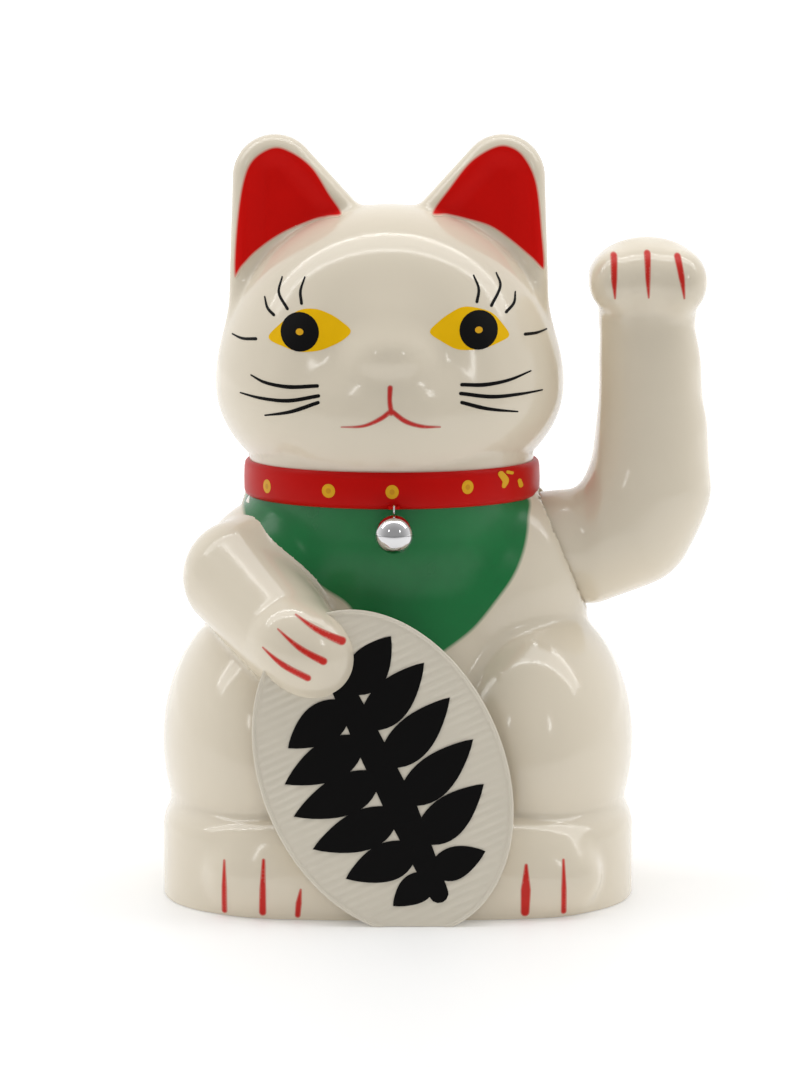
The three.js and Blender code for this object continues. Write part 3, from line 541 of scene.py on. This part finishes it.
def finish(
    name, code, roughness, shade=0.04, spread=0.04, size=12.0, dent=0.0, dent_size=6.0, over=None, **surface
):
    """A surface whose colour and gloss drift over `size` mm and which is dented by `dent` mm.

    With `over`, the paint thins out to that colour where its cover runs out.
    """
    made = bpy.data.materials.new(name)
    made.use_nodes = True
    tree = made.node_tree
    shader = tree.nodes["Principled BSDF"]
    place = add(tree, "ShaderNodeTexCoord").outputs["Object"]
    drift = add(tree, "ShaderNodeTexNoise", {"Vector": place, "Scale": 1.0 / (size * MM), "Detail": 3.0})
    main = linear(code)
    deep = [c * (1.0 - shade) for c in main[:3]] + [1.0]
    tint = {"Factor": drift.outputs["Fac"], "A": main, "B": deep}
    tone = add(tree, "ShaderNodeMix", tint, data_type="RGBA").outputs["Result"]
    if over:
        cover = add(tree, "ShaderNodeAttribute", attribute_name="cover")
        under = {"Factor": cover.outputs["Fac"], "A": linear(over), "B": tone}
        tone = add(tree, "ShaderNodeMix", under, data_type="RGBA").outputs["Result"]
    gloss = {"Value": drift.outputs["Fac"], "To Min": roughness - spread, "To Max": roughness + spread}
    tree.links.new(tone, shader.inputs["Base Color"])
    tree.links.new(add(tree, "ShaderNodeMapRange", gloss).outputs["Result"], shader.inputs["Roughness"])
    if dent:
        waves = {"Vector": place, "Scale": 1.0 / (dent_size * MM), "Detail": 2.0}
        height = add(tree, "ShaderNodeTexNoise", waves).outputs["Fac"]
        bump = add(tree, "ShaderNodeBump", {"Height": height, "Distance": dent * MM, "Strength": 1.0})
        tree.links.new(bump.outputs["Normal"], shader.inputs["Normal"])
    for key, value in surface.items():
        shader.inputs[key.replace("_", " ")].default_value = value
    return made


CREAM = "e8ddc8"
# glossy cream polystyrene, injection moulded: the warm body with slightly wavy reflections
cream = finish(
    "cream_moulded_polystyrene", CREAM, 0.13, 0.05, 0.03, 35.0, 0.05, 14.0,
    IOR=1.59, Coat_Weight=0.2, Coat_Roughness=0.08,
)
# the coin's plastic is a little greyer and its gloss softer
pearl = finish("pale_coin_moulded_polystyrene", "e2dac9", 0.24, 0.06, 0.05, 9.0, 0.01, 3.0, IOR=1.59)
# lacquer sprayed through masks, its edge thinning out over the cream
ear_red = finish(
    "red_lacquer_sprayed", "e00b04", 0.45, 0.10, 0.04, 9.0, 0.02, 6.0, over=CREAM, Specular_IOR_Level=0.1
)
# lacquer brushed round the band: a deep, even red with little shine
collar_red = finish(
    "red_lacquer_brushed", "c80a05", 0.35, 0.12, 0.05, 8.0, 0.03, 5.0, Specular_IOR_Level=0.1
)
# a glossier sprayed lacquer that goes darker in patches, as a thin coat does
bib_green = finish(
    "green_lacquer_sprayed", "0e8040", 0.26, 0.40, 0.05, 14.0, 0.03, 9.0, over=CREAM, Specular_IOR_Level=0.4
)
# brush strokes of thinned lacquer: bright in the middle, pink where they run out
claw_red = finish(
    "red_claw_lacquer_brushed", "d5281f", 0.35, 0.16, 0.06, 3.0, over="dca596", Specular_IOR_Level=0.25
)
mouth_red = finish(
    "soft_red_lip_lacquer_brushed", "cc302a", 0.35, 0.10, 0.05, 3.0, over="d2a597", Specular_IOR_Level=0.25
)
# pad-printing inks: flat, even films
eye_yellow = finish("yellow_ink_pad_printed", "f7c200", 0.40, 0.07, 0.05, 4.0, Specular_IOR_Level=0.1)
black_ink = finish("black_ink_pad_printed", "060505", 0.45, 0.20, 0.05, 4.0, Specular_IOR_Level=0.12)
# enamel dabbed on with a blunt tool: small bright dots, browner in their cores
dot_yellow = finish(
    "yellow_enamel_dabbed", "e8ae0c", 0.35, 0.15, 0.05, 2.0, 0.02, 1.5, Specular_IOR_Level=0.3
)
dot_amber = finish("amber_enamel_dabbed", "d6960c", 0.35, 0.15, 0.05, 2.0, Specular_IOR_Level=0.3)
# bright nickel plate: a near mirror, which makes the bell a tiny picture of the room
nickel = finish("bright_nickel_plated_brass", "dcdcde", 0.06, 0.03, 0.02, 3.0, 0.004, 2.0, Metallic=1.0)
# the metals inside: bluish screws, dull stamped iron, yellow bushes, reddish wire
steel = finish("zinc_plated_steel", "b4b7bb", 0.30, 0.10, 0.08, 1.5, Metallic=1.0)
iron = finish("pressed_iron", "5d5c5a", 0.55, 0.20, 0.10, 2.0, 0.03, 1.0, Metallic=1.0)
brass = finish("turned_brass", "c7a055", 0.28, 0.10, 0.08, 2.0, Metallic=1.0)
copper = finish("enamelled_copper_wire", "a8552c", 0.35, 0.15, 0.08, 1.0, 0.04, 0.6, Metallic=1.0)
# the plain plastics inside, duller than the figure's skin
black_plastic = finish("black_moulded_polypropylene", "1d1d1f", 0.45, 0.10, 0.06, 4.0, 0.02, 0.8, IOR=1.49)
white_plastic = finish("white_moulded_nylon", "e2e1da", 0.40, 0.05, 0.06, 4.0, 0.01, 1.0, IOR=1.53)
laminate = finish("green_glass_epoxy_laminate", "1d5a36", 0.40, 0.20, 0.08, 2.0, IOR=1.55)
jacket = finish("printed_cell_jacket_film", "23242a", 0.25, 0.10, 0.05, 6.0, IOR=1.5)
# vinyl sleeves on the leads, matt and evenly coloured
red_wire = finish("red_vinyl_extruded", "a81c17", 0.45, 0.10, 0.05, 3.0, IOR=1.53)
black_wire = finish("black_vinyl_extruded", "171717", 0.45, 0.10, 0.05, 3.0, IOR=1.53)
white_wire = finish("white_vinyl_extruded", "dedcd6", 0.45, 0.05, 0.05, 3.0, IOR=1.53)

NODE_FINISH = {
    "base_plate": cream,
    "battery_door": cream,
    "coin_plaque": pearl,
    "base_screw_": steel,
    "board_screw_": steel,
    "frame_screw_": steel,
    "battery_cell": jacket,
    "contact_": nickel,
    "switch_body": black_plastic,
    "switch_knob": black_plastic,
    "drive_board": laminate,
    "coil_bobbin": white_plastic,
    "coil_winding": copper,
    "capacitor": jacket,
    "driver_chip": black_plastic,
    "pivot_frame": white_plastic,
    "_bush": brass,
    "pendulum_lever": white_plastic,
    "drive_magnet": nickel,
    "counterweight": iron,
    "pivot_shaft": steel,
    "shaft_clip": steel,
    "arm_hub": white_plastic,
    "bell_": nickel,
    "bell_staple": collar_red,
    "lead_red": red_wire,
    "lead_black": black_wire,
    "lead_switch": white_wire,
}
for name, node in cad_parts.items():
    for part, look in NODE_FINISH.items():
        if part in name:
            node.data.materials.clear()
            node.data.materials.append(look)

# ---------------------------------------------------------------- the cast shells
HEAD_LOW, HEAD_HIGH = (-66.0, -60.0, -2.0), (66.0, 56.0, 203.0)
ARM_LOW, ARM_HIGH = (34.0, -22.0, 70.0), (86.0, 20.0, 176.0)


def socket_field(p):
    return np.maximum(np.hypot(p[..., 1], p[..., 2] - SHAFT_Z) - SOCKET_R, SOCKET_FLOOR - p[..., 0])


def body_outer(p):
    return smooth_max(figure_field(p), -socket_field(p), 1.6)


def body_inner(p, outer):
    """The hollow inside the wall, solid in the ears, with the hole that the shaft runs through."""
    bore = np.hypot(p[..., 1], p[..., 2] - SHAFT_Z) - SHAFT_HOLE_R
    bore = np.maximum(bore, np.abs(p[..., 0] - SOCKET_FLOOR) - 4.0)
    ears = np.minimum(ear_field(p, -1), ear_field(p, 1))
    return np.minimum(np.maximum(outer + WALL, 3.0 - ears), bore)


def arm_inner(p, outer):
    """The hollow of the arm, its wall even where the field is steep."""
    steep = np.linalg.norm(slope(arm_chain_field, p), axis=-1)
    return arm_chain_field(p) / np.maximum(steep, 1.0) + ARM_WALL


for side, half in ((-1, "front"), (1, "rear")):
    points, faces = hollow_half(body_outer, body_inner, HEAD_LOW, HEAD_HIGH, NET_STEP, side)
    shell = piece(f"body_{half}", points, faces, cream, "body")
    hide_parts(f"{half}_shell")
    points, faces = hollow_half(raised_arm_field, arm_inner, ARM_LOW, ARM_HIGH, ARM_STEP, side)
    shell = piece(f"arm_{half}", points, faces, cream, "arm")
    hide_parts(f"arm_{half}_shell")

# ---------------------------------------------------------------- painted details
EARS = {
    "left": [(-43.2, 162), (-42.9, 173.5), (-41.3, 186), (-38.7, 192.7), (-33.2, 196.2), (-28.2, 195.2),
             (-22.5, 191), (-18, 184.2), (-14.6, 178.6), (-18.5, 177.5), (-22.5, 176.5), (-30.5, 173.1),
             (-37.1, 168.6), (-40.6, 165)],
    "right": [(38.6, 164), (38.2, 173.7), (36.7, 186.8), (33.4, 193.8), (29.2, 196.6), (24.9, 196.2),
              (19, 192.5), (13.7, 186), (8.8, 178.8), (13, 178), (17.7, 176.9), (24.3, 174.9), (30.2, 170.9),
              (34.8, 167.1)],
}
EYES = {
    "left": [(-33.5, 147.4), (-30.5, 151), (-25.8, 154.5), (-21.4, 155.1), (-17.5, 153.9), (-14.5, 152.1),
             (-12.1, 149.8), (-14, 147.5), (-17.5, 145.6), (-20.8, 144.5), (-25.2, 144.2), (-29.4, 145.3)],
    "right": [(8.2, 149.4), (10.3, 151.9), (13.4, 154.1), (16.8, 155.6), (20.7, 155.2), (24.4, 153.8),
              (26.9, 151.2), (28.8, 148.1), (26.4, 146.5), (22.4, 145.1), (18.5, 144.7), (15, 145),
              (11.4, 146.9)],
}
PUPILS = {"left": (-25.3, 149.2), "right": (20.8, 149.7)}
LASHES = {
    "left": [[(-34.7, 157.6), (-33.9, 154.9), (-32.2, 153.2)],
             [(-30.1, 162.8), (-30.9, 158.8), (-28.6, 154.9)],
             [(-24.1, 163), (-25.2, 159.5), (-24.9, 156.4)],
             [(-43.4, 147.5), (-40.5, 146.7), (-36.9, 146.9)]],
    "right": [[(19.6, 163.4), (20.9, 160), (20.4, 156.8)],
              [(25.6, 163.8), (26.6, 160.4), (24.2, 155.7)],
              [(30.6, 158.8), (30.2, 156.1), (28.1, 153.9)],
              [(39, 148.7), (36.2, 148.1), (33.1, 148)]],
}
WHISKERS = {
    "left": [[(-38.1, 137.6), (-34.3, 136), (-28, 135.2), (-20.7, 135.7)],
             [(-41, 132.8), (-35.2, 131.9), (-28, 131.7), (-20.4, 133.2)],
             [(-34.4, 127.5), (-27.5, 128.9), (-20.5, 131.5)]],
    "right": [[(34.5, 138.6), (28.6, 136.7), (22.2, 135.8), (16.4, 136)],
              [(37.6, 133.4), (31, 132.9), (24, 132.7), (16.1, 133.8)],
              [(31, 128.4), (22.8, 129.7), (16.4, 131.5)]],
}
MOUTH = [
    ([(-2, 135.6), (-2.1, 132.3), (-1.7, 129.2)], (1.5, 1.3, 1.5)),
    ([(-1.7, 129.8), (-4.7, 127.6), (-9, 125.8), (-14.5, 125.4)], (1.4, 1.3, 0.9, 0.4)),
    ([(-1.7, 129.8), (1.9, 127.1), (6.1, 125.7), (10.8, 125.4)], (1.4, 1.4, 1.1, 0.5)),
]
BIB = [(-39.5, 105), (-41, 100.3), (-36.1, 94.9), (-27.7, 89.2), (-20.2, 82.7), (-13, 77.8), (-9, 70),
       (-1, 64), (6, 62), (12.4, 66.2), (20, 71.6), (26.3, 78.9), (30.8, 85.2), (33.6, 92), (34.7, 98.8),
       (34, 105), (20, 106), (0, 106.5), (-20, 106)]
FOOT_CLAWS = [
    ([(-44.6, 14.6), (-44.6, 8), (-44.7, 1.2)], (0.7, 1.5, 1.6)),
    ([(-34.4, 15.4), (-34.6, 8), (-34.7, 1.7)], (1, 1.8, 2)),
    ([(-24.9, 8), (-25.4, 4.5), (-25.7, 1.2)], (0.7, 1.7, 1.6)),
    ([(32.8, 14.2), (32.7, 8), (32.6, 1.8)], (1, 2.7, 2.4)),
    ([(42.4, 15.2), (42.5, 8), (42.6, 1.5)], (0.8, 1.5, 1.6)),
]
HOLDING_CLAWS = [
    ([(-26, 78.7), (-20.6, 75.2), (-14.2, 71.9)], (0.5, 1.5, 2.1)),
    ([(-30.5, 75.2), (-24.8, 70.7), (-18.9, 67.3)], (0.5, 1.6, 2.1)),
    ([(-34.4, 70.3), (-29.3, 66.4), (-22.9, 63)], (0.5, 1.7, 1.9)),
]
RAISED_CLAWS = [
    ([(56.5, 168), (56.4, 162), (56.7, 157)], (1.9, 1.7, 0.6)),
    ([(65.2, 168.6), (65.2, 162), (65.5, 157.2)], (1.9, 1.4, 0.6)),
    ([(73.1, 167.8), (74, 162.5), (74.8, 157)], (1.9, 1.7, 0.6)),
]


def strokes(rows):
    """Outlines of several brush strokes."""
    return [stroke(points, widths) for points, widths in rows]


for side in ("left", "right"):
    outline = closed_curve(EARS[side], 20)
    film(f"ear_red_{side}", [outline], figure_field, ear_red, lift=0.14, spacing=0.8, fade=0.7)
    film(f"eye_yellow_{side}", [closed_curve(EYES[side])], figure_field, eye_yellow, lift=0.05, spacing=1.2)
    film(f"iris_{side}", [disc(PUPILS[side], 5.0)], figure_field, black_ink, lift=0.10, spacing=1.2)
    dot = disc(PUPILS[side], 1.0, 0.85, 14)
    film(f"pupil_dot_{side}", [dot], figure_field, dot_yellow, lift=0.15, spacing=0.8)
    lines = [stroke(line, (0.4, 0.7, 0.8)) for line in LASHES[side]]
    film(f"lashes_{side}", lines, figure_field, black_ink, spacing=0.8)
    lines = [stroke(line, (0.4, 0.8, 1.0, 0.9)) for line in WHISKERS[side]]
    film(f"whiskers_{side}", lines, figure_field, black_ink, spacing=0.8)

film("mouth_line", strokes(MOUTH), figure_field, mouth_red, spacing=0.35, fade=0.35)
film("bib_green", [closed_curve(BIB, 12)], seat_field, bib_green, lift=0.14, spacing=1.0, fade=1.1)
film("foot_claws", strokes(FOOT_CLAWS), figure_field, claw_red, spacing=0.4, fade=0.4)
film("holding_claws", strokes(HOLDING_CLAWS), figure_field, claw_red, spacing=0.4, fade=0.35)
film("raised_claws", strokes(RAISED_CLAWS), raised_arm_field, claw_red, "arm", spacing=0.4, fade=0.35)

# ---------------------------------------------------------------- collar and its dabs
COLLAR_AXIS = (-1.6, 1.0, 0.0)
COLLAR_BAND = [(34.5, 104.2), (38.4, 104.0), (39.1, 104.5), (39.4, 105.6), (39.45, 108.6), (39.35, 111.7),
               (39.1, 112.9), (38.5, 113.5), (34.5, 113.3)]
COLLAR_R = 39.43
ARM_CLEAR_R = 15.5


def step_over_arm(band):
    """Raises the band's lower edge where the round root of the arm swings under it."""
    for vertex in band.data.vertices:
        x, y, z = vertex.co / MM
        if x > SOCKET_FLOOR and abs(y) < ARM_CLEAR_R:
            vertex.co.z = max(z, SHAFT_Z + math.sqrt(ARM_CLEAR_R**2 - y * y)) * MM


for half, start, end in (("front", 180.2, 359.8), ("rear", 0.2, 179.8)):
    step_over_arm(turned(f"collar_{half}", COLLAR_BAND, COLLAR_AXIS, collar_red, "body", 96, start, end))


def collar_field(p):
    return np.hypot(p[..., 0] - COLLAR_AXIS[0], p[..., 1] - COLLAR_AXIS[1]) - COLLAR_R


DAB_HEIGHT = 1.8
DABS = [((-34.2, 108.2), 1.0), ((-17.9, 108.5), 1.7), ((-1.5, 108.6), 1.7), ((18, 109.3), 1.5)]
dots = [disc(place, r, DAB_HEIGHT / r) for place, r in DABS]
cores = [disc(place, 0.4 * r, DAB_HEIGHT / r, 14) for place, r in DABS]
film("collar_dots", dots, collar_field, dot_yellow, lift=0.06, spacing=0.8)
film("collar_dot_cores", cores, collar_field, dot_amber, lift=0.1, spacing=0.8)
SMEARS = [
    ([(26.8, 112), (28, 110.2), (27.6, 108.8)], (1.5, 1.8, 1.2)),
    ([(28.6, 112.3), (29.8, 111.9)], (0.8, 0.8)),
    ([(31.8, 109.6), (32.2, 108.3)], (1.0, 1.2)),
]
film("collar_smears", strokes(SMEARS), collar_field, dot_yellow, lift=0.06, spacing=0.6)

# ---------------------------------------------------------------- the bell
BELL = (-1.0, -42.3, 98.0)


def bell_half(way):
    """Half of a hollow ball, its edge folded flush at the widest line."""
    outer = [(0.02, 4.98)] + [(5.0 * math.sin(a), 5.0 * math.cos(a)) for a in np.radians(range(8, 86, 6))]
    lip = [(5.0, 0.3), (5.0, 0.06), (4.96, 0.03), (4.6, 0.03)]
    inner = [(4.6 * math.sin(a), 4.6 * math.cos(a)) for a in np.radians(range(84, 6, -8))] + [(0.02, 4.58)]
    profile = [(r, way * h) for r, h in outer + lip + inner]
    return profile if way < 0 else profile[::-1]


for half, way in (("upper", 1), ("lower", -1)):
    ball = turned(f"bell_{half}", bell_half(way), BELL, nickel, "bell", 64)
    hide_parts(f"bell_{half}_shell")

# ---------------------------------------------------------------- the coin
COIN_PITCH = 2.1
COIN_RIB = 0.26
COIN_FACE = 0.35
coin_turn = Matrix.Rotation(-COIN_LEAN, 4, "X") @ Matrix.Rotation(COIN_TILT, 4, "Y")
to_figure = Matrix.Translation(COIN_PLACE) @ coin_turn


def from_coin(points):
    turn = np.array(to_figure)
    return points @ turn[:3, :3].T + turn[:3, 3]


def coin_ribs(u, w):
    """Height of the fine ribs beside the motif, across the coin's long axis."""
    rho = np.hypot(u / COIN_HALF[0], w / COIN_HALF[1])
    rib = (0.5 + 0.5 * np.cos(2.0 * math.pi * w / COIN_PITCH)) ** 1.5
    uneven = 0.75 + 0.25 * np.sin(w / 6.0 + u / 4.0)
    return COIN_RIB * rib * uneven * smooth_step((rho - 0.56) / 0.2) * smooth_step((0.965 - rho) / 0.02)


def coin():
    """An oval plaque with a fine raised rim and a ribbed face, its foot cut flat."""
    around = 560
    t = np.linspace(0.0, 2.0 * math.pi, around, endpoint=False)
    face_y, rim_y = COIN_FACE - COIN_THICK / 2.0, -COIN_THICK / 2.0
    inner = np.concatenate([np.linspace(0.06, 0.54, 6), np.linspace(0.56, 1.0, 40)])
    rings = [(1.15, s, face_y) for s in inner]
    rings += [(0.95, 1.0, face_y - 0.08), (0.8, 1.0, rim_y + 0.03), (0.65, 1.0, rim_y), (0.35, 1.0, rim_y)]
    rings += [(0.1, 1.0, rim_y + 0.12), (0.0, 1.0, rim_y + 0.4), (0.0, 1.0, -rim_y - 0.4)]
    rings += [(0.1, 1.0, -rim_y - 0.1), (0.4, 1.0, -rim_y), (0.4, 0.5, -rim_y)]
    layers = []
    for inset, share, y in rings:
        u = np.cos(t) * (COIN_HALF[0] - inset) * share
        w = np.sin(t) * (COIN_HALF[1] - inset) * share
        depth = y - (coin_ribs(u, w) if y == face_y else 0.0)
        layers.append(np.stack([u, np.broadcast_to(depth, u.shape), w], 1))
    points = np.concatenate(layers + [np.array([[0.0, face_y, 0.0], [0.0, -rim_y, 0.0]])])
    faces = []
    nxt = np.roll(np.arange(around), -1)
    for k in range(len(rings) - 1):
        a, b = k * around, (k + 1) * around
        faces += [[a + i, a + j, b + j, b + i] for i, j in enumerate(nxt)]
    front, back = len(points) - 2, len(points) - 1
    last = (len(rings) - 1) * around
    faces += [[front, j, i] for i, j in enumerate(nxt)]
    faces += [[back, last + i, last + j] for i, j in enumerate(nxt)]
    faces = [f[::-1] for f in faces]
    made = piece("coin", from_coin(points), faces, pearl, "body", 50.0)
    shape = bmesh.new()
    shape.from_mesh(made.data)
    every = shape.verts[:] + shape.edges[:] + shape.faces[:]
    bmesh.ops.bisect_plane(shape, geom=every, plane_co=(0, 0, 0), plane_no=(0, 0, -1), clear_outer=True)
    rim = [e for e in shape.edges if e.is_boundary]
    bmesh.ops.holes_fill(shape, edges=rim)
    bmesh.ops.recalc_face_normals(shape, faces=shape.faces[:])
    shape.to_mesh(made.data)
    shape.free()
    made.data.set_sharp_from_angle(angle=math.radians(50.0))
    return made


def leaf(base, angle, length, width, bend=0.0):
    """Outline of a lance-shaped leaf from its base, its tip bent sideways."""
    t = np.linspace(0.0, 1.0, 15)
    half = 0.5 * width * np.sin(math.pi * t**0.8) ** 0.85
    line = np.stack([length * t, bend * t * t], 1)
    loop = np.concatenate([line + np.stack([0 * t, half], 1), (line - np.stack([0 * t, half], 1))[-2:0:-1]])
    c, s = math.cos(math.radians(angle)), math.sin(math.radians(angle))
    return loop @ np.array([[c, s], [-s, c]]) + np.array(base)


LEAVES = [
    ((-0.5, 27), 100, 9, 8, 1), ((0.2, 22), 22, 18, 10.5, 2), ((-1, 20), 200, 19, 10.5, -2),
    ((-0.5, 12.5), 14, 23, 10.5, 3), ((-1, 10), 194, 23, 10.5, -3), ((0, 2), 10, 24.5, 10.5, 4),
    ((-1, 0), 192, 24, 10.5, -4), ((0.5, -8.5), 6, 24.5, 10.5, 4), ((-0.5, -10.5), 190, 23.5, 10.5, -4),
    ((0.5, -19), 4, 22, 10.5, 4), ((0, -20.5), 190, 19.5, 10, -3), ((0.5, -27.5), -14, 15, 8.5, 2),
    ((0.5, -28.5), 206, 12.5, 8, -2),
]
STEM = ([(-0.8, 30), (-0.2, 10), (0.4, -12), (0.3, -34)], (5, 7, 8, 5))


def sprig():
    """A bold bamboo sprig printed on the coin's face."""
    loops = [leaf(*row) for row in LEAVES] + [stroke(*STEM)]
    flat, faces = fill(loops, 3.0)
    depth = COIN_FACE - COIN_THICK / 2.0
    top = np.stack([flat[:, 0], np.full(len(flat), depth - 0.3), flat[:, 1]], 1)
    under = np.stack([flat[:, 0], np.full(len(flat), depth + 0.2), flat[:, 1]], 1)
    return skin("coin_sprig", from_coin(top), from_coin(under), faces, black_ink, "body")


plaque = coin()
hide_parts("coin_plaque")
sprig()

# ---------------------------------------------------------------- floor, light and camera
FLOOR_REACH = 9.0
FLOOR_Z = -0.0002
LENS = 129.7
VIEW_PLACE = (0.0, -1.02, 0.217)
VIEW_DOWN = math.radians(6.92)


def floor():
    """A wide acrylic sheet lit a little from below, carrying painted shade and light: greyer and dimmer
    towards the viewer, glowing brighter far behind.
    """
    mesh = bpy.data.meshes.new("floor")
    corners = [(x * FLOOR_REACH, y * FLOOR_REACH, FLOOR_Z) for x, y in ((-1, -1), (1, -1), (1, 1), (-1, 1))]
    mesh.from_pydata(corners, [], [(0, 1, 2, 3)])
    made = bpy.data.objects.new("floor", mesh)
    bpy.context.scene.collection.objects.link(made)
    white = finish("acrylic_sheet_painted_shade_and_glow", "f4f4f4", 0.5, 0.0, 0.02, 60.0, Emission_Strength=0.14)
    tree = white.node_tree
    parts = add(tree, "ShaderNodeSeparateXYZ", {"Vector": add(tree, "ShaderNodeTexCoord").outputs["Object"]})
    # painted shade: towards the viewer the sheet turns grey and glows less
    ramp = {"Value": parts.outputs["Y"], "From Min": -0.75, "From Max": -0.22, "To Min": 0.2, "To Max": 1.0}
    level = add(tree, "ShaderNodeMapRange", ramp, interpolation_type="SMOOTHSTEP").outputs["Result"]
    # painted light: far behind the figure the sheet glows up to three times brighter
    beyond = {"Value": parts.outputs["Y"], "From Min": 0.15, "From Max": 1.6, "To Min": 0.0, "To Max": 3.0}
    rise = add(tree, "ShaderNodeMapRange", beyond, interpolation_type="SMOOTHSTEP").outputs["Result"]
    glow = add(tree, "ShaderNodeMath", operation="ADD")
    tree.links.new(level, glow.inputs[0])
    tree.links.new(rise, glow.inputs[1])
    shader = tree.nodes["Principled BSDF"]
    tree.links.new(glow.outputs["Value"], shader.inputs["Emission Color"])
    grey = {"Factor": level, "A": linear("909090"), "B": linear("f4f4f4")}
    tone = add(tree, "ShaderNodeMix", grey, data_type="RGBA").outputs["Result"]
    tree.links.new(tone, shader.inputs["Base Color"])
    mesh.materials.append(white)


def softbox(name, place, aim, width, height, power):
    """A rectangular soft light that faces a point."""
    light = bpy.data.lights.new(name, "AREA")
    light.shape = "RECTANGLE"
    light.size, light.size_y, light.energy = width, height, power
    made = bpy.data.objects.new(name, light)
    made.location = place
    made.rotation_euler = (Vector(aim) - Vector(place)).to_track_quat("-Z", "Y").to_euler()
    bpy.context.scene.collection.objects.link(made)


def room():
    """A white tent all round with a dimmer opening where the viewer stands."""
    world = bpy.data.worlds.new("tent")
    world.use_nodes = True
    tree = world.node_tree
    direction = add(tree, "ShaderNodeTexCoord").outputs["Generated"]
    parts = add(tree, "ShaderNodeSeparateXYZ", {"Vector": direction})
    ramp = {"Value": parts.outputs["Y"], "From Min": -0.95, "From Max": 0.9, "To Min": 0.38, "To Max": 1.08}
    level = add(tree, "ShaderNodeMapRange", ramp, interpolation_type="SMOOTHSTEP")
    sky = tree.nodes["Background"]
    sky.inputs["Color"].default_value = (1.0, 0.995, 0.985, 1.0)
    tree.links.new(level.outputs["Result"], sky.inputs["Strength"])
    bpy.context.scene.world = world


floor()
room()
softbox("window_left", (-0.55, -0.85, 0.62), (0, 0, 0.1), 0.07, 0.20, 0.22)
softbox("window_right", (0.60, -0.80, 0.55), (0, 0, 0.1), 0.07, 0.20, 0.22)
softbox("ceiling", (0, 0.03, 0.96), (0, 0.03, 0.0), 3.0, 0.24, 3.3)
softbox("strip_near", (0, -0.10, 0.95), (0, -0.10, 0.18), 3.0, 0.02, 1.6)
softbox("strip_far", (0, 0.16, 0.95), (0, 0.16, 0.18), 3.0, 0.02, 2.0)

camera = bpy.data.cameras.new("camera")
camera.lens = LENS
camera.sensor_width = 36.0
camera.shift_x = -0.0023
camera.clip_start, camera.clip_end = 0.05, 50.0
view = bpy.data.objects.new("camera", camera)
view.location = VIEW_PLACE
view.rotation_euler = (math.radians(90.0) - VIEW_DOWN, 0.0, 0.0)
bpy.context.scene.collection.objects.link(view)
bpy.context.scene.camera = view
bpy.context.scene.view_settings.view_transform = "Standard"
